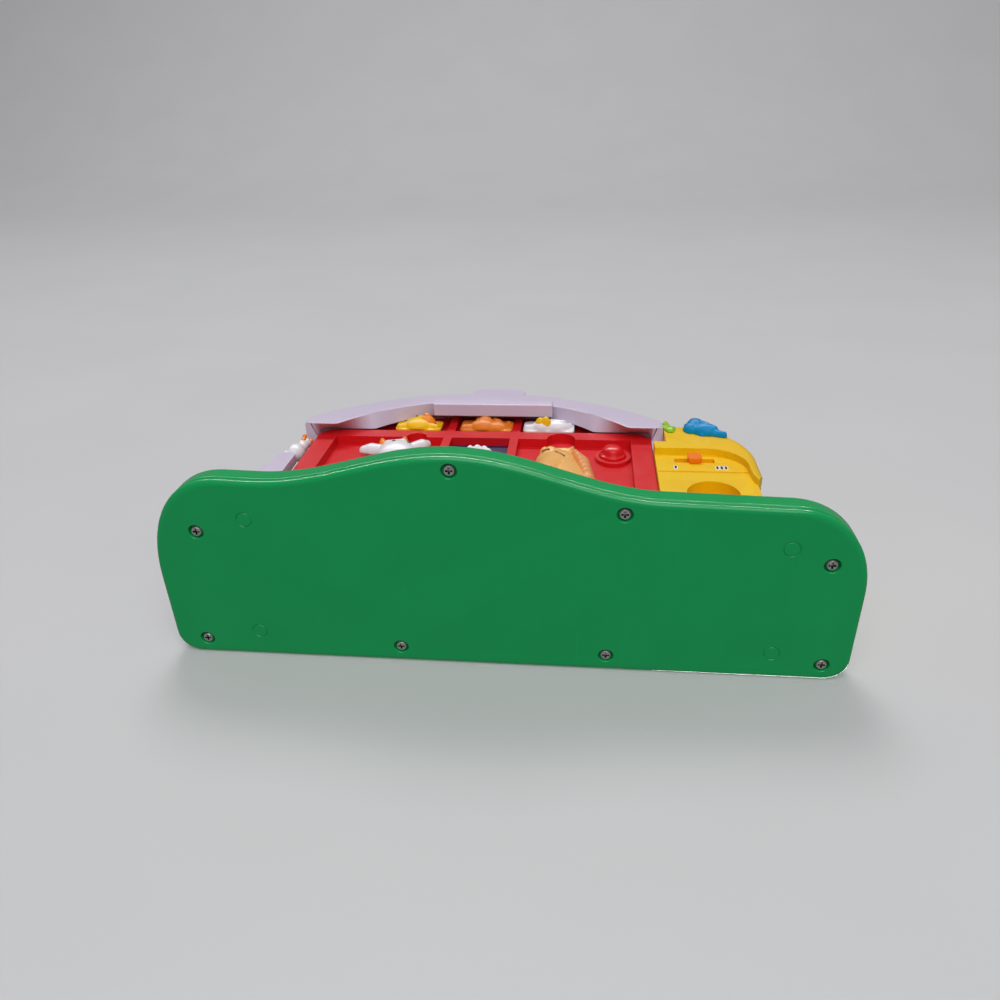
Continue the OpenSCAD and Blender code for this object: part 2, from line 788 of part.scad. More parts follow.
module carry_handle() {
    y0 = handle_y - handle_d / 2;
    y1 = handle_y + handle_d / 2;
    foot = roof_cz + roof_r * 0.9 - grip_cz;
    color("plum") difference() {
        union() {
            along_y(y0, y1) difference() {
                arched_outline(handle_w / 2, grip_r, grip_t, foot);
                arched_outline(handle_w / 2 - leg_w, grip_r - grip_t, grip_t * 0.8, foot - over);
            }
            along_y(y0, y1) round_rect([barn_x - block_w / 2, grip_top - grip_t / 2],
                [barn_x + block_w / 2, grip_top + block_h], 4);
        }
        roof_round(roof_r, y0 - over, y1 + over);
        for (s = [-1, 1]) translate([barn_x + s * handle_screw_off, handle_y, roof_cz])
            cylinder(r = pilot_r, h = roof_r + 14);
    }
}

module handle_screws() {
    color("silver") for (s = [-1, 1]) translate([barn_x + s * handle_screw_off, handle_y, handle_seat_z])
        screw(roof_cz + roof_r + 12 - handle_seat_z);
}

// Animal buttons

module chick_button() {
    y = relief_y - plate_t;
    k = upper_k;
    p = [chick_x, upper_z + 4 * k];
    color("gold") difference() {
        union() {
            upper_plate(chick_x, chick_w);
            bump(p + k * [0, 2], 7.5 * k, 4.5, y);
            bump(p + k * [-1, 8], 5 * k, 3.2, y);
            for (s = [-1, 1]) long_bump(p + k * [s * 6, 3], p + k * [s * 9, -1], 2.5 * k, 1.6 * k, 2.4, y);
            bump(p + k * [-1, 5], 1.8 * k, 6, y);
            button_stem([chick_x, upper_stem_z]);
        }
        eye_pits(p + k * [-1, 8.5], 4.5 * k, 0.7 * k, y - 3.4);
        beam_space();
    }
}

module cat_button() {
    y = relief_y - plate_t;
    k = upper_k;
    p = [cat_x, upper_z + 3.2 * k];
    color("sandybrown") difference() {
        union() {
            upper_plate(cat_x, 29.8);
            bump(p, 6 * k, 4, y);
            bump(p + k * [6, 0], 5.5 * k, 3, y);
            bump(p + k * [-2, 0.6], 5.6 * k, 5.6, y);
            for (s = [-1, 1]) bump(p + k * [s * 4 - 2, 5], 2 * k, 2.6, y);
            long_bump(p + k * [10, 0], p + k * [12, 6], 1.6 * k, 1.6 * k, 2, y);
            bump(p + k * [-2, -1], 2 * k, 6.4, y);
            button_stem([cat_x, upper_stem_z]);
        }
        eye_pits(p + k * [-2, 2.4], 4.6 * k, 0.7 * k, y - 4.9);
        beam_space();
    }
}

module duck_button() {
    y = relief_y - plate_t;
    k = upper_k;
    p = [duck_x, upper_z + 4 * k];
    color("whitesmoke") difference() {
        union() {
            upper_plate(duck_x, 27.5);
            bump(p + k * [3, 0], 8.5 * k, 4, y);
            bump(p + k * [-4, 5], 5.4 * k, 4.4, y);
            long_bump(p + k * [-7, 4], p + k * [-10.5, 3.4], 2 * k, 1.6 * k, 4, y);
            long_bump(p + k * [9, 2], p + k * [11.5, 5], 2.4 * k, 1.4 * k, 2.4, y);
            button_stem([duck_x, upper_stem_z]);
        }
        eye_pits(p + k * [-4, 6.6], 3.6 * k, 0.7 * k, y - 4.2);
        beam_space();
    }
}

module cow_button() {
    head = [cow_x - 2.5, cell_z1 - 20];
    foot = [cow_x - 3, base_h + 16];
    tilt = 17;
    color("snow") difference() {
        union() {
            long_bump([cow_x - 3, base_h + 28], [cow_x - 1, head[1] - 24], 16.6, 14, 6.5);
            for (s = [-1, 1]) long_bump(foot + [s * 10, 8], foot + [s * 11, 0], 5.2, 5.6, 7.2);
            bump(head, 12.5, 7.6);
            bump(head + turned([0, -8.5], tilt), 9.5, 9);
            for (s = [-1, 1]) {
                ear = head + turned([s * 10.6, 4.4], tilt);
                ear_tip = head + turned([s * 17, 2.6], tilt);
                long_bump(ear, ear_tip, 3.4, 2.6, 4.6);
                bump(head + turned([s * 6.2, 12.4], tilt), 2.7, 5.2);
            }
            bump(head + turned([0, 11.2], tilt), 4.4, 6.3);
            button_stem([cow_x, lower_stem_z]);
        }
        eye_pits(head + turned([0, 3.6], tilt), 8.4, 1.2, relief_y - 7.4);
    }
}

module sheep_button() {
    wool_z = base_h + 38;
    head = [sheep_x + 1, base_h + 66];
    color("ghostwhite") difference() {
        union() {
            bump([sheep_x, wool_z], 10, 7);
            for (a = [0:45:315]) bump([sheep_x + 8 * cos(a), wool_z + 15 * sin(a)], 4.8, 6);
            for (s = [-1, 1])
                long_bump([sheep_x + s * 5, base_h + 22], [sheep_x + s * 5.5, base_h + 15], 3, 3, 5.5);
            bump(head, 7.6, 8);
            bump([head[0], head[1] - 6], 5.4, 8.6);
            for (a = [30:40:150]) bump([head[0] + 6.5 * cos(a), head[1] + 3 + 6 * sin(a)], 3.2, 8);
            for (s = [-1, 1]) long_bump(head + [s * 7, 1], head + [s * 11, -1], 2.2, 1.8, 4.5);
            bump([sheep_x, base_h + 56], 6, 6);
            button_stem([sheep_x, lower_stem_z]);
        }
        eye_pits([head[0], head[1] + 1.5], 6, 0.9, relief_y - 7.8);
    }
}

module horse_button() {
    head = [horse_x - 4.5, cell_z1 - 29.5];
    color("burlywood") difference() {
        union() {
            long_bump([horse_x + 4, base_h + 26], [horse_x + 4, base_h + 44], 15, 13, 6.5);
            for (s = [-1, 1])
                long_bump([horse_x + 4 + s * 9, base_h + 24], [horse_x + 4 + s * 9, base_h + 15], 5, 5, 7);
            long_bump([horse_x + 4, base_h + 48], head, 11, 9.5, 7);
            bump(head, 10.5, 8.6);
            bump([head[0] - 5, head[1] - 10], 7.5, 9.4);
            for (s = [-1, 1]) long_bump(head + [s * 5, 8], head + [s * 6, 13], 2.6, 1.8, 5);
            for (a = [85:-20:-15]) bump(head + [7 + 10 * cos(a), 16 * sin(a) - 4], 4.2, 7);
            button_stem([horse_x, lower_stem_z]);
        }
        eye_pits([head[0] - 1, head[1] + 2.5], 8, 1.1, relief_y - 8.4);
        eye_pits([head[0] - 5, head[1] - 11], 5.5, 0.9, relief_y - 9.3);
    }
}

module round_button() {
    cap_y = floor_y - 5;
    color("crimson") {
        bump([round_x, round_z], round_r, 3, cap_y);
        y_rod([round_x, round_z], round_r, cap_y, floor_back + 2);
        y_rod([round_x, round_z], round_r + 1.4, floor_back + run, floor_back + 2);
        y_rod([round_x, round_z], 3, floor_back + 2, stem_end);
    }
}

// Works

module circuit_board() {
    color("darkgreen") difference() {
        along_y(board_y, board_back) {
            translate([barn_x - board_half, board_z0]) square([2 * board_half, board_z1 - board_z0]);
            translate([barn_x - board_tab_half, board_z1])
                square([2 * board_tab_half, board_tab_z - board_z1]);
        }
        for (p = board_screw_points) y_rod(p, hole_r, board_y - over, board_back + over);
    }
}

module board_parts() {
    color("dimgray") {
        y_rod([barn_x - 20, base_h + 70], 8, board_back, board_back + 2.4);
        box([barn_x + 14, board_back, base_h + 60], [barn_x + 34, board_back + 3, base_h + 72]);
        for (i = [0:1:2]) y_rod([barn_x + 46 + 8 * i, base_h + 40], 3, board_back, board_back + 8);
    }
}

module board_screws() {
    color("silver") for (p = board_screw_points) screw_y(p, board_back, board_gap + board_t - 1);
}

module key_domes() {
    color("lightgray") for (p = key_points) {
        y_rod(p, 4.8, board_y - 0.8, board_y);
        bump(p, 3.8, key_h - 0.8, board_y - 0.8);
    }
}

// Turns a profile of radius and depth about the speaker's axis, depth measured forward from the back wall
module speaker_turn() {
    translate([barn_x, back_in, speaker_z]) rotate([90, 0, 0]) rotate_extrude() children();
}

module speaker_basket() {
    rim = speaker_r - 3.5;
    color("gray") speaker_turn() polygon([
        [rim, 0], [speaker_r, 0], [speaker_r, speaker_flange], [rim, speaker_flange],
        [magnet_r, basket_d], [coil_r, basket_d], [coil_r, basket_d - 1.2], [magnet_r - 1, basket_d - 1.2],
        [rim - 1, speaker_flange - 0.6]
    ]);
}

module speaker_cone() {
    rim = speaker_r - 4.6;
    coil = coil_r - 0.1;
    color("black") speaker_turn() polygon([
        [0, 5], [6, 5], [rim, 0.6], [rim, 1.2], [6, 5.8], [coil, 6.5], [coil, basket_d], [0, basket_d]
    ]);
}

module speaker_magnet() {
    color("dimgray") speaker_turn() translate([0, basket_d]) square([magnet_r, magnet_d]);
}

module speaker_screws() {
    color("silver") for (p = speaker_screw_points) translate([p[0], back_in - speaker_flange, p[1]])
        rotate([-90, 0, 0]) speaker_screw();
}

// Short wide-headed screw along +Z whose head laps over the speaker's flange
module speaker_screw() {
    cylinder(r = screw_r, h = 3.4);
    translate([0, 0, -1.4]) cylinder(r = 4, h = 1.4);
}

module aa_cells() {
    color("goldenrod") for (i = [0:1:2]) {
        s = i == 1 ? -1 : 1;
        translate([barn_x, tray_y + cell_d / 2 + 0.3, tray_z0 + tray_pitch * (i + 0.5)]) rotate([0, 90, 0]) {
            translate([0, 0, -cell_l / 2 + (s > 0 ? 0 : 1)]) cylinder(d = cell_d, h = cell_l - 1);
            translate([0, 0, s > 0 ? cell_l / 2 - 1 : -cell_l / 2]) cylinder(d = 5.5, h = 1);
        }
    }
}

// Bent leaf contacts at both ends of every cell
module battery_contacts() {
    leaf = 0.5;
    color("lightgray") for (i = [0:1:2]) for (s = [-1, 1]) {
        z = tray_z0 + tray_pitch * (i + 0.5);
        y = tray_y + cell_d / 2 + 0.3;
        translate([barn_x, y, z]) mirror([s < 0 ? 1 : 0, 0, 0]) {
            box([tray_half - leaf, -4.5, -5], [tray_half, 4.5, 5]);
            box([cell_l / 2, -2.5, -2.5], [tray_half - leaf, -2, 2.5]);
            box([cell_l / 2, -2.5, -2.5], [cell_l / 2 + leaf, 2.5, 2.5]);
        }
    }
}

module battery_door() {
    color("thistle") difference() {
        along_y(back_in, back_y) door_outline(0.25);
        y_rod([barn_x, door_screw_z], hole_r, back_in - over, back_y + over);
        y_rod([barn_x, door_screw_z], counterbore_r - 0.4, back_y - 1.2, back_y + over);
        for (i = [0:1:4]) translate([barn_x, back_y, tray_z0 + 6 + 6 * i])
            box([-12, -0.8, 0], [12, over, 1.6]);
    }
}

module battery_door_screw() {
    color("silver") translate([barn_x, back_y - 1.2, door_screw_z]) rotate([90, 0, 0]) short_screw(8);
}

// Screw with a low head for a thin plate
module short_screw(length) {
    cylinder(r = screw_r, h = length);
    difference() {
        translate([0, 0, -1.1]) cylinder(r = head_r, h = 1.1);
        translate([0, 0, -1.1]) cross_recess(0.7);
    }
}

// Silo

module silo_front_shell() {
    color("gold") difference() {
        union() {
            along_y(silo_front, silo_front + 1.3) silo_section(4.5);
            along_y(silo_front + 1.3, silo_front + 3.3) silo_section(1.8);
            along_y(silo_front + 3.3, silo_split) silo_section(0);
        }
        along_y(silo_front - over, recess_y) recess_section();
        difference() {
            along_y(panel_back, silo_split + over) silo_cavity();
            along_y(panel_back - over, recess_y + door_d + 2) doorway(-2);
            for (p = silo_screw_points) y_rod(p, silo_boss_r, panel_back - over, silo_split);
            for (p = switch_points) y_rod(p, 2.4, panel_back - over, switch_y);
        }
        along_y(recess_y - over, recess_y + door_d) doorway(0);
        along_y(recess_y - over, panel_back + over)
            translate([slide_x, slide_cz])
                round_rect([-slot_w / 2, -slot_h / 2], [slot_w / 2, slot_h / 2], 1);
        box([silo_x0 - over, recess_y - over, slide_cz - 12.6], [recess_x1, recess_y + 0.8, slide_cz - 11.4]);
        for (p = silo_screw_points) y_rod(p, pilot_r, panel_back + 1, silo_split + over);
        for (p = switch_points) y_rod(p, pilot_r, recess_y + 1, switch_y + over);
        for (p = [bird_peg, leaf_peg]) y_rod(p, peg_r + fit, silo_front - over, silo_front + peg_l + fit);
    }
}

module silo_back_shell() {
    color("gold") difference() {
        union() {
            along_y(silo_split, silo_back - silo_wall) difference() {
                silo_section(0);
                silo_cavity();
            }
            along_y(silo_back - silo_wall, silo_back - 1) silo_section(0);
            along_y(silo_back - 1, silo_back) silo_section(1);
            for (p = silo_screw_points) y_rod(p, silo_boss_r, silo_split, silo_back - silo_wall);
            for (p = silo_mount_points) mount_boss(p);
        }
        for (p = silo_screw_points) {
            y_rod(p, hole_r, silo_split - over, silo_seat_y + over);
            y_rod(p, head_r + 0.2, silo_seat_y, silo_back + over);
        }
        for (p = silo_mount_points) translate([p[0], p[1], base_h - over])
            cylinder(r = pilot_r, h = mount_boss_h + 2 * over);
        x_rod([switch_wire_y, slide_cz], wire_hole_r, silo_x0 - over, silo_x0 + silo_wall + over);
    }
}

module silo_screws() {
    color("silver") for (p = silo_screw_points) screw_y(p, silo_seat_y, silo_seat_y - panel_back - 2);
}

module silo_door_panel() {
    color("orange") along_y(recess_y + door_d - 1.2, recess_y + door_d) doorway(fit);
}

module slide_knob() {
    knob = [3.15, 3.4];
    knob_out = 2.9;
    neck = [neck_w / 2, slot_h / 2 - run];
    back = panel_back + run;
    guide = [9, 4, 1.4];
    color("orangered") translate([slide_x, 0, slide_cz]) {
        along_y(recess_y - knob_out, recess_y - run) round_rect(-knob, knob, 1.4);
        box([-neck[0], recess_y - run, -neck[1]], [neck[0], back, neck[1]]);
        box([-guide[0], back, -guide[1]], [guide[0], back + guide[2], guide[1]]);
        box([-lever, back + guide[2], -lever], [lever, lever_end, lever]);
    }
}

module slide_switch() {
    plate = [13, 11.5];
    body = [11, 3.2];
    way = [slide_travel + lever + run, lever + run];
    color("dimgray") difference() {
        translate([slide_x, 0, slide_cz]) difference() {
            union() {
                box([-plate[0], switch_y, -plate[1]], [plate[0], switch_y + 1, plate[1]]);
                box([-body[0], switch_y + 1, -body[1]], [body[0], switch_end, body[1]]);
            }
            box([-way[0], switch_y - over, -way[1]], [way[0], lever_end + run, way[1]]);
        }
        for (p = switch_points) y_rod(p, hole_r, switch_y - over, switch_end);
    }
}

module switch_screws() {
    color("silver") for (p = switch_points) screw_y(p, switch_y + 1, switch_y - recess_y - 0.4);
}

module blue_bird() {
    y = silo_front;
    color("deepskyblue") {
        bump(bird_peg + [1, 3], 8.2, 5.5, y);
        bump(bird_peg + [-4, 11], 6, 6.2, y);
        long_bump(bird_peg + [6, 0], bird_peg + [10, -2], 3.4, 2, 3.6, y);
        long_bump(bird_peg + [-8.5, 10.5], bird_peg + [-10, 10], 1.8, 0.8, 4, y);
        y_rod(bird_peg, peg_r, y, y + peg_l);
    }
}

module leaf_sprig() {
    y = silo_front;
    color("yellowgreen") {
        long_bump(leaf_peg, leaf_peg + [2.4, 9], 3, 1.2, 2.6, y);
        long_bump(leaf_peg - [0, 2], leaf_peg + [-1.6, 8], 2, 1, 2, y);
        y_rod(leaf_peg, peg_r, y, y + peg_l);
    }
}

module flower_bud() {
    y = silo_front;
    color("orange") long_bump([bud_x, leaf_peg[1] + 16.5], leaf_peg + [-0.8, 9.95], bud_r, 0.9, 2.4, y);
}

// Fence and hen

module picket(height) {
    along_y(-picket_t / 2, picket_t / 2) {
        translate([-picket_w / 2, 0]) square([picket_w, height - picket_r]);
        translate([picket_r - picket_w / 2, 0]) square([picket_w - 2 * picket_r, height]);
        for (s = [-1, 1]) translate([s * (picket_w / 2 - picket_r), height - picket_r]) circle(picket_r);
    }
}

module picket_fence() {
    rail_h = 5;
    color("plum") difference() {
        union() {
            for (p = picket_points) translate([p[0], p[1], base_h]) {
                picket(fence_h);
                translate([0, 0, -base_wall]) cylinder(r = fence_peg_r, h = base_wall + over);
            }
            for (i = [0:1:len(picket_points) - 2]) for (z = [fence_h * 0.25, fence_h * 0.68]) {
                a = picket_points[i];
                v = picket_points[i + 1] - a;
                translate([a[0], a[1], base_h + z]) rotate([0, 0, atan2(v[1], v[0])])
                    translate([0, -1.2, -rail_h / 2]) cube([norm(v), 2.4, rail_h]);
            }
        }
        translate([hen_peg[0], hen_peg[1], fence_top - 6]) cylinder(r = hen_peg_r + fit, h = 6 + over);
    }
}

// Turned body and head of the hen
module hen_body() {
    translate([hen_x, hen_y, fence_top]) rotate_extrude() polygon([
        [0, 0.6], [3.6, 1.2], [6.2, 4], [6.6, 7], [5.6, 10.4], [4.8, 12.6], [5, 15],
        [4.2, 18], [2.4, 19.6], [0, 20]
    ]);
}

module hen() {
    color("white") {
        hen_body();
        translate([hen_x - 4, hen_y + 1, fence_top + 8])
            rotate([0, -40, 0]) cylinder(r1 = 4, r2 = 2.4, h = 6);
        translate([hen_peg[0], hen_peg[1], fence_top - 5.5]) cylinder(r = hen_peg_r, h = 9);
    }
}

module hen_comb() {
    color("orange") difference() {
        translate([hen_x, hen_y, fence_top]) {
            for (i = [-1:1:1]) translate([2.4 * i, 0, 20.4 - abs(i)]) sphere(r = 2.4);
            translate([0, -6.2, 15]) sphere(r = 1.7);
            translate([0, -5.6, 12.2]) sphere(r = 1.5);
            box([-0.8, -6.2, 15], [0.8, 0, 20]);
        }
        hen_body();
    }
}

// Wires from the board to the speaker, the battery tray and the slide switch
module wire_harness() {
    color("crimson") {
        wire([[barn_x + 24, board_back, base_h + 86], [barn_x + 24, board_back + 6, base_h + 86],
            [barn_x + 21, speaker_wire_y, speaker_z], [barn_x + magnet_r, speaker_wire_y, speaker_z]]);
        wire([[tray_wire[0], board_back, tray_wire[1]], [tray_wire[0], tray_y, tray_wire[1]]]);
        wire([[slide_x, switch_end, slide_cz], [slide_x, switch_wire_y - 4, slide_cz],
            [slide_x - 4, switch_wire_y, slide_cz], [barn_right - 17, switch_wire_y, slide_cz],
            [barn_right - 22, switch_wire_y - 6, slide_cz], [barn_right - 22, board_back, slide_cz]]);
    }
}

base_bottom_plate();
base_top_shell();
base_screws();
body_mount_screws();
barn_front_frame();
cell_card();
barn_back_shell();
case_screws();
roof_shell();
carry_handle();
handle_screws();
chick_button();
cat_button();
duck_button();
cow_button();
sheep_button();
horse_button();
round_button();
circuit_board();
board_parts();
board_screws();
key_domes();
speaker_basket();
speaker_cone();
speaker_magnet();
speaker_screws();
aa_cells();
battery_contacts();
battery_door();
battery_door_screw();
silo_front_shell();
silo_back_shell();
silo_screws();
silo_door_panel();
slide_knob();
slide_switch();
switch_screws();
blue_bird();
leaf_sprig();
flower_bud();
picket_fence();
hen();
hen_comb();
wire_harness();
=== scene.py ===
import math

import bmesh
import bpy
from mathutils import Matrix, Vector


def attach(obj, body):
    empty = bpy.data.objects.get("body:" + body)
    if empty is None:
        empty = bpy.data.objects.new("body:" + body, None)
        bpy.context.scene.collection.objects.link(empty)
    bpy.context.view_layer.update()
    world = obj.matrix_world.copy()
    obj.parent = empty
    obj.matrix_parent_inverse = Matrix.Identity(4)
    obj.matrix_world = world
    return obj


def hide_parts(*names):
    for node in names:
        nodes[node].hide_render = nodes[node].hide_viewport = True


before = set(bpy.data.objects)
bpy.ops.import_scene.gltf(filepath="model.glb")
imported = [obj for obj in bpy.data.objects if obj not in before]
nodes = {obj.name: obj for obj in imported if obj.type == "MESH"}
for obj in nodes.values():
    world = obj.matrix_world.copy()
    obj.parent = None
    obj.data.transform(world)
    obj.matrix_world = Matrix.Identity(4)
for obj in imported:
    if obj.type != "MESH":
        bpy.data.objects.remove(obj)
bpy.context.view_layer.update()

# Looks of the musical farm carry-along toy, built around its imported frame.
# Sizes are in millimetres and become metres in piece(); X right, Y back, Z up, base underside at z = 0.
MM = 0.001
SAME_POINT, WELD_GAP, LEAST_GAP, FLAT_ANGLE = 1e-7, 1e-6, 1e-6, 0.6
CREASE, BASE_CREASE, SHELL_CREASE = 38.0, 40.0, 30.0
ROUND_STEPS, DOME_STEPS, NEAR_POLE, RIDGE_PITCH = 28, 7, 88, 1.2
TOY = "toy_body"

# Sizes of the frame; the base's seam, the roof's rim and the eaves follow the photograph more closely
BASE_HALF, BASE_BACK, BASE_TOP, SEAM_Z = 149.0, 51.0, 13.0, 3.2
BASE_WALL, BOSS_R = 2.4, 4.6
PILOT_R, CLEARANCE_R, PEG_HOLE_R = 1.55, 1.65, 2.05
CORNER_W, LEFT_CORNER, RIGHT_CORNER, FULLNESS = 34.0, 50.0, 40.0, 0.91
BACK_CORNER = 10.0
LOBE_X, LOBE_HALF, LOBE_OUT, FRONT_SLOPE = -16.0, 84.0, 15.5, 0.031
BASE_SCREWS = [(x, 43.2) for x in (-134.55, -43.85, 46.85, 137.55)]
BASE_SCREWS += [(-127.5, -13.8), (133.7, -6.9), (-17.0, -45.1), (52.0, -27.5)]
MOULD_RINGS = [(-105.0, -20.5), (117.2, -14.1), (-108.5, 37.6), (116.2, 37.8)]
MOUNT_HOLES = [(x, y) for x in (-82.0, 42.0) for y in (14.0, 34.0)] + [(95.0, 18.0), (95.0, 31.0)]
PEG_HOLES = [(-117.0, -9.3), (-126.8, -2.3), (-136.6, 4.7), (-139.0, 14.2), (-141.4, 23.7)]
BARN_X = -20.0
ROOF_Z, ROOF_R, ROOF_T = 15.5, 142.0, 4.2
RIM_Z, RIM_R, RIM_FRONT, RIM_BACK = 42.8, 103.7, -17.0, -9.1
BEVEL_Z, BEVEL_R, BEVEL_LOW = 67.0, 81.5, 121.8
EAVE_IN, EAVE_OUT, EAVE_Z = 90.3, 96.0, 111.0
EAVE_BY_SILO = ((70.4, -8.6, 98.2), (75.9, 50.0, 113.0))
SIGN_BAR = ((-48.5, -20.6, 131.0), (17.5, -13.4, 138.0))
SIGN_WEB = ((-48.5, -16.8, 131.6), (17.5, -13.4, 147.4))
RELIEF_Y = -7.0
PLATE_Y = RELIEF_Y - 1.6
SHEEP_Y = RELIEF_Y - 0.4
UPPER_Z = 123.0
STEM_HALF, STEM_BACK = 4.0, 2.0
BARB_FRONT, BARB_BACK, BARB_OUT = -1.3, 0.4, 1.2
UPPER_STEM_Z, LOWER_STEM_Z = 128.0, 48.0
SILO_X0, SILO_X1, SILO_Z0 = 70.3, 119.0, 13.0
DOME = (82.0, 84.0, 37.0)
SILO_FRONT, SILO_SPLIT, RECESS_Y = -15.3, 10.0, -11.8
SILO_WALL = 2.4
STEP_X, STEP_Z = 76.3, 97.7
SLOT, SLOT_HALF_W, SLOT_HALF_H = (89.0, 83.0), 9.6, 2.2
DOORWAY = (94.0, 49.7, 11.8, 22.0)
SILO_POSTS, POST_R = ((82.0, 104.0), (113.0, 24.0), (74.3, 24.0)), 3.2
BIRD_PEG, SPRIG_PEG, HEN_PEG = (95.0, 106.0), (80.0, 111.0), (-119.5, -9.3)
PEG_R, PEG_BORE_R, HEN_PEG_R, TIP_R, PEG_LENGTH = 1.75, 1.85, 1.45, 0.05, 4.4
MARK_Z0, MARK_Z1, SOFT_MARK_X, LOUD_MARK_X = 73.4, 77.6, 79.4, 101.0

# Camera and stage, worked out from the photograph; metres but for the camera's place
FOCAL_PX, PHOTO_PX, SENSOR_MM = 784, 1000, 36.0
CAMERA_PLACE = (35.4, -181.7, -269.4)
CAMERA_RIGHT, CAMERA_AHEAD = (0.99415, 0.02916, 0.10401), (-0.10518, 0.48041, 0.87072)
STAGE_FAR, FLOOR_Z, WALL_Y, COVE_Z, COVE_R = 3.0, -0.0004, 0.0515, 1.3, 0.9
LIGHT_AIM = (0.0, 0.0, 0.09)
WORLD_LIGHT = 0.24


# Meshes

def finish_mesh(obj, crease=CREASE):
    """Outward normals, smooth shading and sharp edges over the crease angle."""
    bm = bmesh.new()
    bm.from_mesh(obj.data)
    bmesh.ops.remove_doubles(bm, verts=bm.verts, dist=SAME_POINT)
    bmesh.ops.recalc_face_normals(bm, faces=bm.faces)
    for face in bm.faces:
        face.smooth = True
    bm.to_mesh(obj.data)
    bm.free()
    obj.data.set_sharp_from_angle(angle=math.radians(crease))


def piece(name, shell, crease=CREASE):
    """New object from vertices in millimetres and faces."""
    verts, faces = shell
    mesh = bpy.data.meshes.new(name)
    mesh.from_pydata([[c * MM for c in v] for v in verts], [], faces)
    obj = bpy.data.objects.new(name, mesh)
    bpy.context.scene.collection.objects.link(obj)
    finish_mesh(obj, crease)
    return obj


def join(*shells):
    """Several shells as one list of vertices and faces."""
    verts, faces = [], []
    for v, f in shells:
        start = len(verts)
        verts += list(v)
        faces += [[i + start for i in face] for face in f]
    return verts, faces


def loft(rings, closed_ends=True):
    """Skin over closed rings of equal length."""
    n = len(rings[0])
    verts = [p for ring in rings for p in ring]
    faces = []
    for k in range(len(rings) - 1):
        for i in range(n):
            j = (i + 1) % n
            faces.append([k * n + i, k * n + j, (k + 1) * n + j, (k + 1) * n + i])
    if closed_ends:
        faces.append(list(range(n))[::-1])
        faces.append(list(range((len(rings) - 1) * n, len(rings) * n)))
    return verts, faces


def turned(profile, place, steps=40):
    """Solid of revolution; profile holds (radius, height), place maps (x, y, h) to a point."""
    rings = []
    for r, h in profile:
        rings.append([place(r * math.cos(a), r * math.sin(a), h) for a in circle_angles(steps)])
    return loft(rings)


def rod(r, h0, h1, place, steps=40):
    """Plain round bar."""
    return turned([(r, h0), (r, h1)], place, steps)


def peg(r, h0, h1, place, steps):
    """Round bar whose ends are closed almost to its axis."""
    return turned([(TIP_R, h0), (r, h0), (r, h1), (TIP_R, h1)], place, steps)


def circle_angles(steps):
    return [2 * math.pi * i / steps for i in range(steps)]


def spread(a, b, steps):
    """Even steps from a to b, both included."""
    return [a + (b - a) * i / steps for i in range(steps + 1)]


def upright(x, y):
    """Places a turned shape with its axis along Z."""
    return lambda u, v, h: (x + u, y + v, h)


def forward(x, z):
    """Places a turned shape with its axis along Y."""
    return lambda u, v, h: (x + u, h, z + v)


def slab(outline, y0, y1):
    """Outline in X and Z drawn out along Y."""
    return loft([[(x, y, z) for x, z in outline] for y in (y0, y1)])


def block(lo, hi):
    """Box between two corners."""
    (x0, y0, z0), (x1, y1, z1) = lo, hi
    return slab([(x0, z0), (x1, z0), (x1, z1), (x0, z1)], y0, y1)


def arc(cx, cz, rx, rz, a0, a1, steps):
    """Points of an oval from one angle to another, in degrees."""
    angles = [math.radians(a0 + (a1 - a0) * i / steps) for i in range(steps + 1)]
    return [(cx + rx * math.cos(a), cz + rz * math.sin(a)) for a in angles]


def full_arc(cx, cy, rx, ry, a0, a1, steps):
    """Quarter of a slightly squared oval."""
    def full(v):
        return math.copysign(abs(v) ** FULLNESS, v)
    return [(cx + rx * full(u), cy + ry * full(v)) for u, v in arc(0, 0, 1, 1, a0, a1, steps)]


def line(p, q, steps):
    """Points from p up to, and without, q."""
    return [tuple(a + (b - a) * i / steps for a, b in zip(p, q)) for i in range(steps)]


def round_rect(x0, z0, x1, z1, r, steps=6):
    """Outline of a rectangle with round corners."""
    return (arc(x1 - r, z0 + r, r, r, -90, 0, steps) + arc(x1 - r, z1 - r, r, r, 0, 90, steps)
            + arc(x0 + r, z1 - r, r, r, 90, 180, steps) + arc(x0 + r, z0 + r, r, r, 180, 270, steps))


def settle(obj):
    """Takes the result of the object's modifiers as its mesh."""
    graph = bpy.context.evaluated_depsgraph_get()
    mesh = bpy.data.meshes.new_from_object(obj.evaluated_get(graph))
    obj.modifiers.clear()
    obj.data = mesh


def combine(obj, other, operation):
    """Boolean of two objects; the second one is used up."""
    mod = obj.modifiers.new("cut", "BOOLEAN")
    mod.object = other
    mod.operation = operation
    mod.solver = "EXACT"
    settle(obj)
    bpy.data.objects.remove(other)


def cut(obj, *shells):
    """Takes shells away from an object, one after the other."""
    for shell in shells:
        combine(obj, piece("cutter", shell), "DIFFERENCE")


def even_normals(obj):
    """Normals that follow the large faces."""
    mod = obj.modifiers.new("normals", "WEIGHTED_NORMAL")
    mod.keep_sharp = True


def soften_edges(obj, width, segments=3, angle=35.0):
    """Rounded moulded edges, with the flat faces kept flat."""
    mod = obj.modifiers.new("edges", "BEVEL")
    mod.width = width * MM
    mod.segments = segments
    mod.limit_method = "ANGLE"
    mod.angle_limit = math.radians(angle)
    mod.use_clamp_overlap = True
    even_normals(obj)


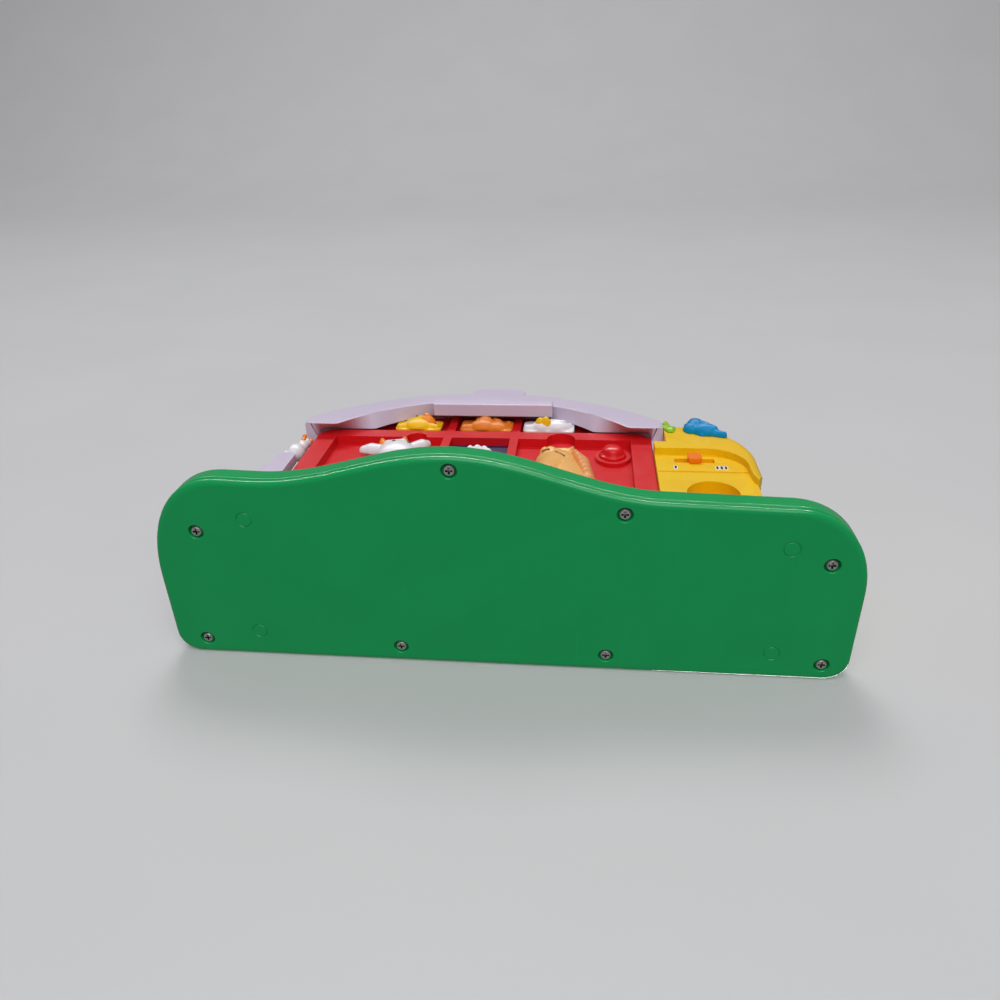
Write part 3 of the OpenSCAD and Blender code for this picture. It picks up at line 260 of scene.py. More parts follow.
def dress(node, material, width=0.0, segments=2):
    """Better finish on a node of the frame, with its edges rounded."""
    obj = nodes[node]
    obj.data.materials.clear()
    obj.data.materials.append(material)
    if width:
        weld = obj.modifiers.new("weld", "WELD")
        weld.merge_threshold = WELD_GAP
        flat = obj.modifiers.new("flat", "DECIMATE")
        flat.decimate_type = "DISSOLVE"
        flat.angle_limit = math.radians(FLAT_ANGLE)
        soften_edges(obj, width, segments)


def settle_piece(obj, material, body=TOY, replaced=()):
    """Gives a piece its material and its body, and hides the nodes of the frame it stands for."""
    obj.data.materials.clear()
    obj.data.materials.append(material)
    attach(obj, body)
    if replaced:
        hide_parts(*replaced)
    return obj


# Materials

def srgb(r, g, b):
    """Linear colour of a screen colour."""
    def part(c):
        c /= 255.0
        return c / 12.92 if c <= 0.04045 else ((c + 0.055) / 1.055) ** 2.4
    return (part(r), part(g), part(b), 1.0)


def shade(color, k):
    """The colour made lighter or darker."""
    return tuple(min(1.0, c * k) for c in color[:3]) + (1.0,)


# Sockets of a colour mix, and noise scales per metre
MIX_A, MIX_B, MIX_COLOR = 6, 7, 2
DRIFT, FINISH, HAIRLINES, GRAIN = 38.0, 160.0, 260.0, 1500.0
TARNISH, PLATING, TURNING, PAPER_GRAIN = 700.0, 1200.0, 2600.0, 9.0


class Nodes:
    """Short way to add and link a material's nodes."""

    def __init__(self, name):
        self.material = bpy.data.materials.new(name)
        self.material.use_nodes = True
        self.tree = self.material.node_tree
        self.shader = self.tree.nodes["Principled BSDF"]
        self.coords = self.add("ShaderNodeTexCoord").outputs["Object"]

    def add(self, kind, **values):
        node = self.tree.nodes.new(kind)
        for key, value in values.items():
            setattr(node, key, value)
        return node

    def link(self, a, b):
        self.tree.links.new(a, b)

    def noise(self, scale, detail=3.0, stretch=None, roughness=0.5):
        node = self.add("ShaderNodeTexNoise")
        node.inputs["Scale"].default_value = scale
        node.inputs["Detail"].default_value = detail
        node.inputs["Roughness"].default_value = roughness
        if stretch:
            mapping = self.add("ShaderNodeMapping")
            mapping.inputs["Scale"].default_value = stretch
            mapping.inputs["Rotation"].default_value = (0.2, 0.1, 0.6)
            self.link(self.coords, mapping.inputs["Vector"])
            self.link(mapping.outputs["Vector"], node.inputs["Vector"])
        else:
            self.link(self.coords, node.inputs["Vector"])
        return node.outputs["Fac"]

    def span(self, value, a, b, low, high):
        """Maps a value's range a to b onto low to high."""
        node = self.add("ShaderNodeMapRange")
        node.inputs["From Min"].default_value = a
        node.inputs["From Max"].default_value = b
        node.inputs["To Min"].default_value = low
        node.inputs["To Max"].default_value = high
        self.link(value, node.inputs["Value"])
        return node.outputs["Result"]

    def mix(self, factor, a, b):
        node = self.add("ShaderNodeMix", data_type="RGBA")
        self.link(factor, node.inputs["Factor"])
        for value, key in ((a, MIX_A), (b, MIX_B)):
            if isinstance(value, tuple):
                node.inputs[key].default_value = value
            else:
                self.link(value, node.inputs[key])
        return node.outputs[MIX_COLOR]

    def bump(self, height, strength, distance):
        node = self.add("ShaderNodeBump")
        node.inputs["Strength"].default_value = strength
        node.inputs["Distance"].default_value = distance
        self.link(height, node.inputs["Height"])
        self.link(node.outputs["Normal"], self.shader.inputs["Normal"])


def plastic(name, color, rough=0.32, specular=0.32, scuffs=0.0, grain=0.05):
    """Moulded plastic: soft tone drift, fine grain, rubbed edges and, if asked, hairline scuffs."""
    m = Nodes(name)
    drift = m.span(m.noise(DRIFT, 2.0), 0.35, 0.65, 0.0, 1.0)
    tone = m.mix(drift, shade(color, 0.982), shade(color, 1.012))
    edge = m.add("ShaderNodeNewGeometry").outputs["Pointiness"]
    rubbed = m.span(edge, 0.53, 0.62, 0.0, 0.22)
    tone = m.mix(rubbed, tone, shade(color, 1.35))
    finish = m.span(m.noise(FINISH, 4.0), 0.3, 0.7, rough - 0.03, rough + 0.04)
    if scuffs:
        hair = m.noise(HAIRLINES, 5.0, (1.0, 0.05, 0.4), 0.62)
        lines = m.span(hair, 0.63, 0.72, 0.0, scuffs)
        tone = m.mix(lines, tone, shade(color, 1.7))
    m.link(tone, m.shader.inputs["Base Color"])
    m.link(finish, m.shader.inputs["Roughness"])
    m.shader.inputs["Specular IOR Level"].default_value = specular
    m.bump(m.noise(GRAIN, 2.0), grain, 0.0002)
    return m.material


def metal(name, color, rough=0.3):
    """Plated steel with small tarnish spots, turning marks and painted shade that darkens its recesses and
    corners.
    """
    m = Nodes(name)
    spots = m.span(m.noise(TARNISH, 3.0), 0.5, 0.75, 0.0, 0.5)
    tone = m.mix(spots, color, shade(color, 0.45))
    # Painted shade: ambient occlusion of the part's own shape turns the colour nearly black in recesses and
    # corners, such as a screw's cross recess.
    corners = m.add("ShaderNodeAmbientOcclusion", only_local=True, samples=8)
    corners.inputs["Distance"].default_value = 1.2 * MM
    tone = m.mix(m.span(corners.outputs["AO"], 0.4, 0.8, 1.0, 0.0), tone, shade(color, 0.06))
    m.link(tone, m.shader.inputs["Base Color"])
    finish = m.span(m.noise(PLATING, 3.0), 0.3, 0.7, rough - 0.08, rough + 0.14)
    m.link(finish, m.shader.inputs["Roughness"])
    m.shader.inputs["Metallic"].default_value = 0.8
    m.bump(m.noise(TURNING, 2.0), 0.08, 0.0001)
    return m.material


def matte(name, color, rough=0.6, scale=500.0):
    """Card, rubber, laminate or dull plastic with a fine mottled surface."""
    m = Nodes(name)
    mottle = m.span(m.noise(scale, 4.0), 0.3, 0.7, 0.0, 1.0)
    tone = m.mix(mottle, shade(color, 0.85), shade(color, 1.15))
    m.link(tone, m.shader.inputs["Base Color"])
    finish = m.span(m.noise(scale * 0.5, 2.0), 0.3, 0.7, rough - 0.06, rough + 0.1)
    m.link(finish, m.shader.inputs["Roughness"])
    m.shader.inputs["Specular IOR Level"].default_value = 0.25
    m.bump(m.noise(scale * 3.0, 2.0), 0.1, 0.0002)
    return m.material


GREEN = plastic("green_plastic", srgb(14, 158, 86), 0.18, 0.3, scuffs=0.08)
RED = plastic("red_plastic", srgb(214, 24, 32), 0.36, 0.28)
RED_BUTTON = plastic("red_button_plastic", srgb(220, 14, 22), 0.32, 0.28)
LAVENDER = plastic("lavender_plastic", srgb(206, 193, 215), 0.38, 0.28)
YELLOW = plastic("yellow_plastic", srgb(242, 192, 10), 0.36, 0.24)
CHICK_YELLOW = plastic("chick_yellow_plastic", srgb(246, 192, 20), 0.4, 0.18)
ORANGE = plastic("orange_plastic", srgb(247, 140, 36), 0.36, 0.3)
KNOB_ORANGE = plastic("knob_orange_plastic", srgb(250, 124, 10), 0.34, 0.26)
# Door panel in the silo's doorway; its deeper orange-yellow is the yellow plastic's tone in the doorway's
# shade, painted into the colour.
DOOR_YELLOW_PAINTED_SHADE = plastic("door_yellow_painted_shade", srgb(226, 148, 18), 0.4, 0.25)
CAT_ORANGE = plastic("cat_orange_plastic", srgb(232, 130, 40), 0.4, 0.18)
TAN = plastic("tan_plastic", srgb(240, 180, 100), 0.38, 0.28)
MANE = plastic("mane_plastic", srgb(226, 150, 88), 0.42, 0.3)
MANE_DARK = plastic("eyelid_brown", srgb(150, 92, 44), 0.45, 0.3)
WHITE = plastic("white_plastic", srgb(232, 228, 234), 0.36, 0.3)
PINK = plastic("pink_plastic", srgb(236, 170, 182), 0.4, 0.3)
CREAM = plastic("cream_plastic", srgb(238, 206, 176), 0.4, 0.3)
BLUE = plastic("blue_plastic", srgb(0, 138, 200), 0.42, 0.14)
LIME = plastic("lime_plastic", srgb(150, 205, 44), 0.38, 0.3)
INK = plastic("eye_black", srgb(26, 22, 26), 0.25, 0.45)
MARK_WHITE = plastic("mark_white", srgb(236, 236, 230), 0.45, 0.25)
STEEL = metal("screw_steel", srgb(196, 196, 192), 0.3)
NICKEL = metal("contact_nickel", srgb(202, 198, 188), 0.26)
BASKET = metal("speaker_metal", srgb(128, 128, 132), 0.42)
NAVY = matte("navy_card", srgb(38, 30, 78), 0.55, 420.0)
LAMINATE = matte("board_laminate", srgb(24, 104, 56), 0.42, 260.0)
DULL_BLACK = matte("black_plastic", srgb(38, 38, 40), 0.5, 500.0)
RUBBER = matte("key_rubber", srgb(186, 186, 184), 0.65, 380.0)
WRAP = matte("cell_wrap", srgb(188, 158, 62), 0.35, 240.0)
WIRE = matte("wire_insulation", srgb(186, 34, 36), 0.45, 520.0)


# Base

def front_wave(x):
    """Line of the base's front edge: a slope with one broad swell."""
    u = (x - LOBE_X) / LOBE_HALF
    swell = LOBE_OUT * (1 + math.cos(math.pi * u)) / 2 if abs(u) < 1 else 0.0
    return FRONT_SLOPE * x - swell


FRONT_LINE = -BASE_BACK - min(front_wave(x) for x in spread(-120.0, 120.0, 480))


def base_plan(inset):
    """Outline of the base seen from above, drawn in by the inset."""
    hx, back = BASE_HALF - inset, BASE_BACK - inset
    r = BACK_CORNER - inset / 2
    w, dl, dr = CORNER_W, LEFT_CORNER - inset, RIGHT_CORNER - inset
    left, right = -hx + w, hx - w

    def front(x):
        return FRONT_LINE + front_wave(x) + inset

    points = full_arc(left, front(left) + dl, w, dl, 180, 270, 24)
    points += [(x, front(x)) for x in spread(left, right, 110)[1:-1]]
    points += full_arc(right, front(right) + dr, w, dr, 270, 360, 24)
    points += arc(hx - r, back - r, r, r, 0, 90, 10)
    points += arc(-hx + r, back - r, r, r, 90, 180, 10)
    return points


def base_ring(inset, z):
    return [(x, y, z) for x, y in base_plan(inset)]


def quarter(r_in, r_up, steps):
    """Steps of a quarter round as (inset, rise), from the flat face to the side."""
    angles = [math.pi / 2 * i / steps for i in range(steps + 1)]
    return [(r_in * (1 - math.sin(a)), r_up * (1 - math.cos(a))) for a in angles]


def base_pocket(inset, z0, z1):
    """Hollow of a base shell with its screw bosses left standing."""
    pocket = piece("pocket", loft([base_ring(inset, z0), base_ring(inset, z1)]))
    bosses = [rod(BOSS_R, z0 - 1, z1 + 1, upright(*p)) for p in BASE_SCREWS]
    combine(pocket, piece("bosses", join(*bosses)), "DIFFERENCE")
    return pocket


def base_bottom():
    seam = ((0, 0.9), (0.1, 0.45), (0.35, 0.12), (0.8, 0.0))
    rings = [base_ring(inset, rise) for inset, rise in quarter(2.4, 1.8, 8)]
    rings += [base_ring(inset, SEAM_Z - drop) for inset, drop in seam]
    obj = piece("base_plate_underside", loft(rings))
    combine(obj, base_pocket(BASE_WALL, BASE_WALL, SEAM_Z + 1), "DIFFERENCE")
    bore = [(3.9, -1), (3.7, -0.1), (3.45, 0.1), (3.28, 0.35), (3.2, 0.7), (3.2, 2.4)]
    bore += [(CLEARANCE_R, 2.4), (CLEARANCE_R, 6)]
    cut(obj, join(*(turned(bore, upright(*p), 48) for p in BASE_SCREWS)))
    groove = [(3.6, -1), (3.6, 0.05), (3.4, 0.28), (3.1, 0.28), (2.9, 0.05), (2.9, -1)]
    cut(obj, join(*(ring_groove(groove, p) for p in MOULD_RINGS)))
    finish_mesh(obj, BASE_CREASE)
    even_normals(obj)
    return settle_piece(obj, GREEN, replaced=["base_bottom_plate"])


def ring_groove(profile, place, steps=48):
    """Closed ring with the given section, standing on the underside."""
    x, y = place
    sections = []
    for a in circle_angles(steps):
        sections.append([(x + r * math.cos(a), y + r * math.sin(a), z) for r, z in profile])
    return loft(sections + sections[:1], closed_ends=False)


def base_top():
    rings = [base_ring(0.9, SEAM_Z), base_ring(0.9, SEAM_Z + 0.3)]
    rings += [base_ring(inset, SEAM_Z + 0.35 + rise) for inset, rise in quarter(0.8, 0.8, 4)]
    rings += [base_ring(inset, BASE_TOP - rise) for inset, rise in quarter(2.6, 2.8, 8)[::-1]]
    obj = piece("base_upper_shell", loft(rings))
    combine(obj, base_pocket(5.0, SEAM_Z - 1, BASE_TOP - BASE_WALL), "DIFFERENCE")
    holes = [rod(PILOT_R, 4, 10.4, upright(*p)) for p in BASE_SCREWS]
    holes += [rod(CLEARANCE_R, 9, 15, upright(*p)) for p in MOUNT_HOLES]
    holes += [rod(PEG_HOLE_R, 9, 15, upright(*p)) for p in PEG_HOLES]
    cut(obj, join(*holes))
    finish_mesh(obj, BASE_CREASE)
    even_normals(obj)
    return settle_piece(obj, GREEN, replaced=["base_top_shell"])


# Roof

def roof_curves():
    """Outer line, rim, lower edge of the rim's bevel and hood, station by station from left to right."""
    c, foot = 5.0, EAVE_OUT - 3.0
    fillet = (EAVE_OUT - c, ROOF_Z + math.sqrt((ROOF_R - c) ** 2 - (EAVE_OUT - c) ** 2))
    meet = math.degrees(math.atan2(fillet[1] - ROOF_Z, fillet[0]))
    hood_r = ROOF_R - ROOF_T
    hood_end = math.degrees(math.acos(EAVE_IN / hood_r))
    side = [(EAVE_OUT, z) for z in spread(EAVE_Z, fillet[1], 6)[:-1]]
    side += arc(fillet[0], fillet[1], c, c, 0, meet, 8)[:-1]
    rim_end = on_ray(meet, RIM_Z, RIM_R, EAVE_Z, hood_r)[0]
    stations = []
    for i, outer in enumerate(side):
        t = i / len(side)
        hood = hood_point(t, hood_r, hood_end, meet)
        stations.append((outer, (foot + (rim_end - foot) * t, EAVE_Z), hood, hood))
    for a in spread(meet, 90.0, 44):
        outer, hood = roof_point(ROOF_R, a), roof_point(hood_r, a)
        rim = on_ray(a, RIM_Z, RIM_R, EAVE_Z, hood_r)
        stations.append((outer, rim, on_ray(a, BEVEL_Z, BEVEL_R, BEVEL_LOW, hood_r), hood))
    left = [tuple((BARN_X - x, z) for x, z in s) for s in stations]
    right = [tuple((BARN_X + x, z) for x, z in s) for s in stations[-2::-1]]
    return left + right


def roof_point(r, angle):
    """Point at an angle on a circle round the roof's centre."""
    a = math.radians(angle)
    return (r * math.cos(a), ROOF_Z + r * math.sin(a))


def on_ray(angle, circle_z, r, lowest, furthest):
    """Point of a circle, kept above a lowest height, on the ray at this angle from the roof's centre."""
    u = (math.cos(math.radians(angle)), math.sin(math.radians(angle)))
    lift = circle_z - ROOF_Z
    reach = lift * u[1] + math.sqrt(max(0.0, r ** 2 - (lift * u[0]) ** 2))
    reach = min(max(reach, (lowest - ROOF_Z) / u[1]), furthest)
    return (reach * u[0], ROOF_Z + reach * u[1])


def hood_point(t, r, end, meet):
    """Inner line of the eave: up its straight side, then along the hood's circle."""
    rise = ROOF_Z + r * math.sin(math.radians(end)) - EAVE_Z
    run = t * (rise + math.radians(abs(meet - end)) * r)
    if run < rise:
        return (EAVE_IN, EAVE_Z + run)
    a = math.radians(end) + math.copysign((run - rise) / r, meet - end)
    return (r * math.cos(a), ROOF_Z + r * math.sin(a))


def toward(p, q, d):
    """Point d away from p on the way to q."""
    gap = max(math.hypot(q[0] - p[0], q[1] - p[1]), LEAST_GAP)
    return (p[0] + (q[0] - p[0]) * d / gap, p[1] + (q[1] - p[1]) * d / gap)


def roof():
    back = BASE_BACK
    soft = [(1.7, 0.0), (0.9, 0.22), (0.3, 0.75), (0.0, 1.7)]
    lip = [(0.0, 0.5), (0.5, 0.1), (1.2, 0.0)]
    rings = []
    for outer, rim, bevel, hood in roof_curves():
        ring = [(*toward(outer, rim, d), RIM_FRONT + y) for d, y in soft]
        ring += [(*toward(outer, hood, d), back - y) for d, y in soft[::-1]]
        ring += [(*hood, back - 0.6), (*hood, RIM_BACK), (*bevel, RIM_BACK)]
        ring += [(*toward(rim, outer, d), RIM_FRONT + y) for d, y in lip]
        rings.append([(x, y, z) for x, z, y in ring])
    obj = piece("roof_arch", loft(rings), SHELL_CREASE)
    combine(obj, piece("eave", block(*EAVE_BY_SILO)), "UNION")
    finish_mesh(obj, SHELL_CREASE)
    even_normals(obj)
    settle_piece(obj, LAVENDER, replaced=["roof_shell"])
    sign = piece("roof_sign_bar", block(*SIGN_BAR))
    combine(sign, piece("web", block(*SIGN_WEB)), "UNION")
    finish_mesh(sign)
    soften_edges(sign, 0.8)
    settle_piece(sign, LAVENDER)


# Silo

def silo_outline(inset, all_round=0.0):
    """Front outline of the silo: dome, right side, foot, barn side and the step round the roof's eave."""
    cx, cz, r = DOME[0], DOME[1], DOME[2] - inset
    x0, x1, foot = SILO_X0 + all_round, SILO_X1 - inset, SILO_Z0 + all_round
    step_x, step_z = STEP_X + all_round, STEP_Z - all_round
    end = math.degrees(math.acos((step_x - cx) / r))
    points = line((x0, foot), (x1, foot), 10) + line((x1, foot), (x1, cz), 14)
    points += arc(cx, cz, r, r, 0, end, 48)
    top = points[-1]
    points += line(top, (step_x, step_z), 6)[1:] + line((step_x, step_z), (x0, step_z), 3)
    return points + line((x0, step_z), (x0, foot), 12)


def silo_ring(y, inset, all_round=0.0):
    return [(x, y, z) for x, z in silo_outline(inset, all_round)]


def arched(cx, cz, half, foot, grow=0.0):
    """Doorway with a round head, grown on all sides if asked."""
    r = half + grow
    return arc(cx, cz, r, r, 0, 180, 24) + [(cx - r, foot - grow), (cx + r, foot - grow)]


def silo():
    rings = [silo_ring(SILO_FRONT + rise, inset) for inset, rise in quarter(7.0, 6.2, 10)]
    rings += [silo_ring(SILO_SPLIT - 0.5, 0.0), silo_ring(SILO_SPLIT, 0.4)]
    obj = piece("silo_front", loft(rings), SHELL_CREASE)
    recess = [(60, 10), (130, 10), (130, 56), (115, 58.5), (113.5, 62), (113, 66)]
    recess += arc(95, 72, 18, 18, 0, 90, 16) + [(60, 90)]
    waist = [(115, 5), (130, 5), (130, 70), (119.2, 70), (118.4, 66.6), (117, 63), (115.8, 60.4), (115, 58)]
    behind_waist = [(112.4, 5), (130, 5), (130, 74), (115.6, 74), (114.4, 66), (112.4, 60)]
    posts = join(*(rod(POST_R, -12, 12, forward(*p)) for p in SILO_POSTS))
    cavity = piece("cavity", loft([silo_ring(y, SILO_WALL, SILO_WALL) for y in (-9.4, SILO_SPLIT + 1)]))
    cut(cavity, slab(arched(*DOORWAY, 2.0), -12, -1.8), posts, slab(behind_waist, -20, 0.9))
    combine(obj, cavity, "DIFFERENCE")
    x, z = SLOT
    slot = round_rect(x - SLOT_HALF_W, z - SLOT_HALF_H, x + SLOT_HALF_W, z + SLOT_HALF_H, 1.0)
    groove = [(60, 70.4), (113, 70.4), (113, 71.6), (60, 71.6)]
    cut(obj, slab(recess, SILO_FRONT - 5, RECESS_Y), slab(waist, SILO_FRONT - 5, -1.5))
    cut(obj, slab(arched(*DOORWAY), -14, -3.8), slab(slot, -14, -8), slab(groove, -14, -11.0))
    cut(obj, join(*(rod(PEG_BORE_R, -17, -10.8, forward(*p)) for p in (BIRD_PEG, SPRIG_PEG))))
    finish_mesh(obj, SHELL_CREASE)
    soften_edges(obj, 0.7, 3, 50.0)
    settle_piece(obj, YELLOW, replaced=["silo_front_shell"])
    silo_marks()


def silo_marks():
    """Two small plain marks beside the slot: one short bar for soft, three bars for loud."""
    y, margin = RECESS_Y, 0.6
    for name, mid, bars in (("soft", SOFT_MARK_X, (0.0,)), ("loud", LOUD_MARK_X, (-2.0, 0.0, 2.0))):
        fields, strokes = [], []
        for b in bars:
            x = mid + b
            field = round_rect(x - 0.9, MARK_Z0, x + 0.9, MARK_Z1, 0.8)
            stroke = round_rect(x - 0.5, MARK_Z0 + margin, x + 0.5, MARK_Z1 - margin, 0.4)
            fields.append(slab(field, y - 0.1 - 0.01 * b, y + 0.3))
            strokes.append(slab(stroke, y - 0.2, y))
        settle_piece(piece("mark_field_" + name, join(*fields)), MARK_WHITE)
        settle_piece(piece("mark_bars_" + name, join(*strokes)), INK)


# Raised animals; places are X and Z, then come radius and depth

def dome(x, z, r, d, y=RELIEF_Y, rz=None, tilt=0.0):
    """Half ellipsoid standing d in front of the plane y."""
    rz = rz or r
    t = math.radians(tilt)
    rings = []
    for a in [math.pi / 2 * i / DOME_STEPS for i in range(DOME_STEPS)] + [math.radians(NEAR_POLE)]:
        ring = []
        for b in circle_angles(ROUND_STEPS):
            u, v = r * math.cos(a) * math.cos(b), rz * math.cos(a) * math.sin(b)
            ring.append((x + u * math.cos(t) - v * math.sin(t), y - d * math.sin(a),
                         z + u * math.sin(t) + v * math.cos(t)))
        rings.append(ring)
    return loft(rings)


def ridge(p, q, r, s, d, y=RELIEF_Y, e=None):
    """Row of domes from p to q that melts into one long swelling."""
    e = e or d
    steps = max(3, int(math.hypot(q[0] - p[0], q[1] - p[1]) / RIDGE_PITCH))
    parts = []
    for i in range(steps + 1):
        t = i / steps
        x, z = p[0] + (q[0] - p[0]) * t, p[1] + (q[1] - p[1]) * t
        parts.append(dome(x, z, r + (s - r) * t, d + (e - d) * t, y))
    return join(*parts)


def ball(x, y, z, rx, ry, rz):
    """Ellipsoid with its axis along Z."""
    rings = []
    for degrees in (-NEAR_POLE, -70, -50, -30, -10, 10, 30, 50, 70, NEAR_POLE):
        a = math.radians(degrees)
        u, v, h = rx * math.cos(a), ry * math.cos(a), z + rz * math.sin(a)
        rings.append([(x + u * math.cos(b), y + v * math.sin(b), h) for b in circle_angles(ROUND_STEPS)])
    return loft(rings)


def melt(name, shells, voxel=0.5, rounds=4):
    """One smooth skin over overlapping shells."""
    obj = piece(name, join(*shells))
    mod = obj.modifiers.new("skin", "REMESH")
    mod.mode = "VOXEL"
    mod.voxel_size = voxel * MM
    mod.use_smooth_shade = True
    soft = obj.modifiers.new("soft", "SMOOTH")
    soft.factor = 0.5
    soft.iterations = rounds
    settle(obj)
    for face in obj.data.polygons:
        face.use_smooth = True
    return obj


def stem(x, z):
    """Square stem with its snap barbs, behind the relief."""
    h = STEM_HALF
    return [block((x - h, RELIEF_Y - 0.8, z - h), (x + h, STEM_BACK, z + h)),
            block((x - h, BARB_FRONT, z - h - BARB_OUT), (x + h, BARB_BACK, z + h + BARB_OUT))]


def detail(name, shells, material, slot, body, voxel=0.35, rounds=3):
    """Small coloured piece that lies on an animal."""
    return settle_piece(melt(name, shells, voxel, rounds), material, body)


def eyes(name, places, r, y, body):
    """Flattened black beads at the given places."""
    shells = [ball(x, y, z, r, r * 0.6, r) for x, z in places]
    detail(name, shells, INK, "black_plastic", body, 0.22, 2)


def upper_plate(x0, x1, top=137.0):
    """Flat button under one of the small animals."""
    return slab(round_rect(x0, UPPER_Z, x1, top, 2.5), PLATE_Y, RELIEF_Y)


def chick():
    y, body = PLATE_Y, "chick_button_body"
    shells = [upper_plate(-69.6, -43.8, 135.5), dome(-57, 128.5, 8.2, 4.6, y, 6.6)]
    shells.append(dome(-56, 133, 5.4, 3.8, y))
    shells.append(ridge((-64, 127), (-67.4, 125.4), 2.4, 1.6, 2.2, y))
    shells.append(ridge((-50, 127), (-46.4, 125.4), 2.4, 1.6, 2.2, y))
    obj = melt("chick_relief", shells + stem(-56.4, UPPER_STEM_Z))
    settle_piece(obj, CHICK_YELLOW, body, ["chick_button"])
    beak = [dome(-52.4, 129.8, 5.2, 5.6, y, 3.8), dome(-52.4, 130.4, 3.4, 6.8, y, 2.6)]
    detail("chick_beak", beak, ORANGE, "orange_plastic", body)
    eyes("chick_eyes", [(-59.0, 134.2), (-53.6, 134.6)], 0.8, y - 3.2, body)


def cat():
    y, body = PLATE_Y, "cat_button_body"
    shells = [upper_plate(-33.2, -4.2), dome(-20.5, 127.2, 7.4, 4.6, y, 5.2)]
    shells.append(dome(-13, 127.4, 6.2, 3.4, y, 4.6))
    shells += [dome(-19.5, 129.2, 5.4, 5.8, y, 4.6), dome(-12.4, 129.0, 3.2, 4.4, y, 2.8)]
    shells += [dome(-19 + s * 4.6, 133.4, 2.1, 3.6, y) for s in (-1, 1)]
    shells.append(ridge((-9, 126.6), (-6.6, 131.5), 1.7, 1.5, 2.2, y))
    shells.append(ridge((-28, 126), (-31, 125.4), 2.2, 1.6, 2.4, y))
    obj = melt("cat_relief", shells + stem(-19.8, UPPER_STEM_Z))
    settle_piece(obj, CAT_ORANGE, body, ["cat_button"])
    detail("cat_nose", [dome(-19.2, 130.0, 1.0, 6.4, y, 0.8)], PINK, "cat_orange_plastic", body, 0.25, 2)
    eyes("cat_eyes", [(-21.8, 131.6), (-16.8, 131.6)], 0.75, y - 4.6, body)


def duck():
    y, body = PLATE_Y, "duck_button_body"
    shells = [upper_plate(1.8, 29.8), dome(20, 128.0, 8.0, 4.2, y, 5.0)]
    shells.append(dome(12.0, 127.4, 6.0, 4.6, y, 4.4))
    shells.append(ridge((24, 127), (27.4, 129), 2.6, 1.4, 2.6, y))
    shells.append(ridge((7, 126.6), (3.6, 126), 2.4, 1.8, 2.6, y))
    shells.append(ridge((17, 129), (24, 128), 2.6, 2.0, 4.8, y))
    obj = melt("duck_relief", shells + stem(16.0, UPPER_STEM_Z))
    settle_piece(obj, WHITE, body, ["duck_button"])
    beak = [dome(11.2, 126.9, 3.4, 6.6, y, 2.5), dome(14.2, 126.6, 3.4, 7.2, y, 2.5)]
    detail("duck_beak", beak, CHICK_YELLOW, "yellow_plastic", body)
    eyes("duck_eyes", [(9.0, 130.2), (15.6, 130.2)], 0.7, y - 3.4, body)


def cow():
    body, head = "cow_button_body", (-62.0, 93.5)
    shells = [ridge((-63, 41), (-61, 69), 16.6, 14, 6.5)]
    shells += [ridge((-63 + s * 10, 37), (-63 + s * 11, 29), 5.2, 5.6, 7.2) for s in (-1, 1)]
    shells += [dome(*head, 10.6, 7.4, rz=9.6, tilt=16), dome(-58.6, 81.0, 9.4, 8.2, rz=9.4, tilt=16)]
    shells.append(ridge((-70, 95.6), (-76, 97.0), 3.4, 4.0, 4.6))
    shells.append(ridge((-76, 97.0), (-80.6, 96.8), 4.0, 2.4, 4.6, e=3.2))
    shells.append(ridge((-54, 99.0), (-50.2, 102.8), 3.2, 3.6, 4.8))
    shells.append(ridge((-50.2, 102.8), (-47.8, 105.4), 3.4, 2.0, 4.4, e=3.2))
    shells.append(ridge((-67.6, 99.4), (-60.0, 101.6), 3.2, 3.0, 5.6))
    obj = melt("cow_relief", shells + stem(-60.0, LOWER_STEM_Z))
    settle_piece(obj, WHITE, body, ["cow_button"])
    horns = [ridge((-70.4, 100.8), (-71.6, 103.2), 2.8, 2.1, 5.0)]
    horns.append(ridge((-60.2, 103.8), (-60.4, 107.0), 2.6, 2.0, 4.4))
    detail("cow_horns", horns, ORANGE, "orange_plastic", body)
    detail("cow_muzzle", [dome(-57.6, 77.0, 7.8, 8.8, rz=6.0, tilt=16)], PINK, "white_plastic", body)
    eyes("cow_eye_left", [(-63.4, 95.4)], 1.0, RELIEF_Y - 7.0, body)
    eyes("cow_eye_right", [(-56.0, 97.6)], 1.0, RELIEF_Y - 5.5, body)
    eyes("cow_nostrils", [(-60.4, 76.6), (-55.2, 78.0)], 0.8, RELIEF_Y - 8.5, body)


def sheep():
    body, y = "sheep_button_body", SHEEP_Y
    (wx, wz), (hx, hz) = (-20.0, 51.0), (-18.6, 80.0)
    curls = ((-4, 4), (4, 5), (0, -5), (-5, -6), (5, -7))
    shells = [dome(wx, wz, 10, 7, y, 14)]
    for i in range(10):
        a = math.radians(36 * i)
        shells.append(dome(wx + 7.6 * math.cos(a), wz + 15 * math.sin(a), 4.7, 6.2, y))
    shells += [dome(wx + x, wz + z, 4.4, 8.2, y) for x, z in curls]
    shells += [dome(wx, 69, 6, 6.2, y), dome(hx, hz, 7.6, 7.2, y)]
    for i in range(5):
        a = math.radians(20 + 35 * i)
        shells.append(dome(hx + 6.2 * math.cos(a), hz + 3.4 + 6 * math.sin(a), 3.3, 8.2, y))
    obj = melt("sheep_relief", shells + stem(wx, LOWER_STEM_Z))
    settle_piece(obj, WHITE, body, ["sheep_button"])
    face = [dome(hx, hz - 5, 5.4, 9.0, y, 6.6)]
    for s in (-1, 1):
        face.append(ridge((hx + s * 6.6, hz + 1), (hx + s * 11, hz - 1.4), 2.2, 1.8, 5.0, y, 3.8))
        face.append(ridge((wx + s * 5, 35), (wx + s * 5.5, 28), 3, 3, 5.5, y))
    detail("sheep_face_and_legs", face, CREAM, "white_plastic", body, 0.45, 3)
    eyes("sheep_eyes", [(hx + s * 2.8, hz - 2.2) for s in (-1, 1)], 0.9, RELIEF_Y - 8.2, body)


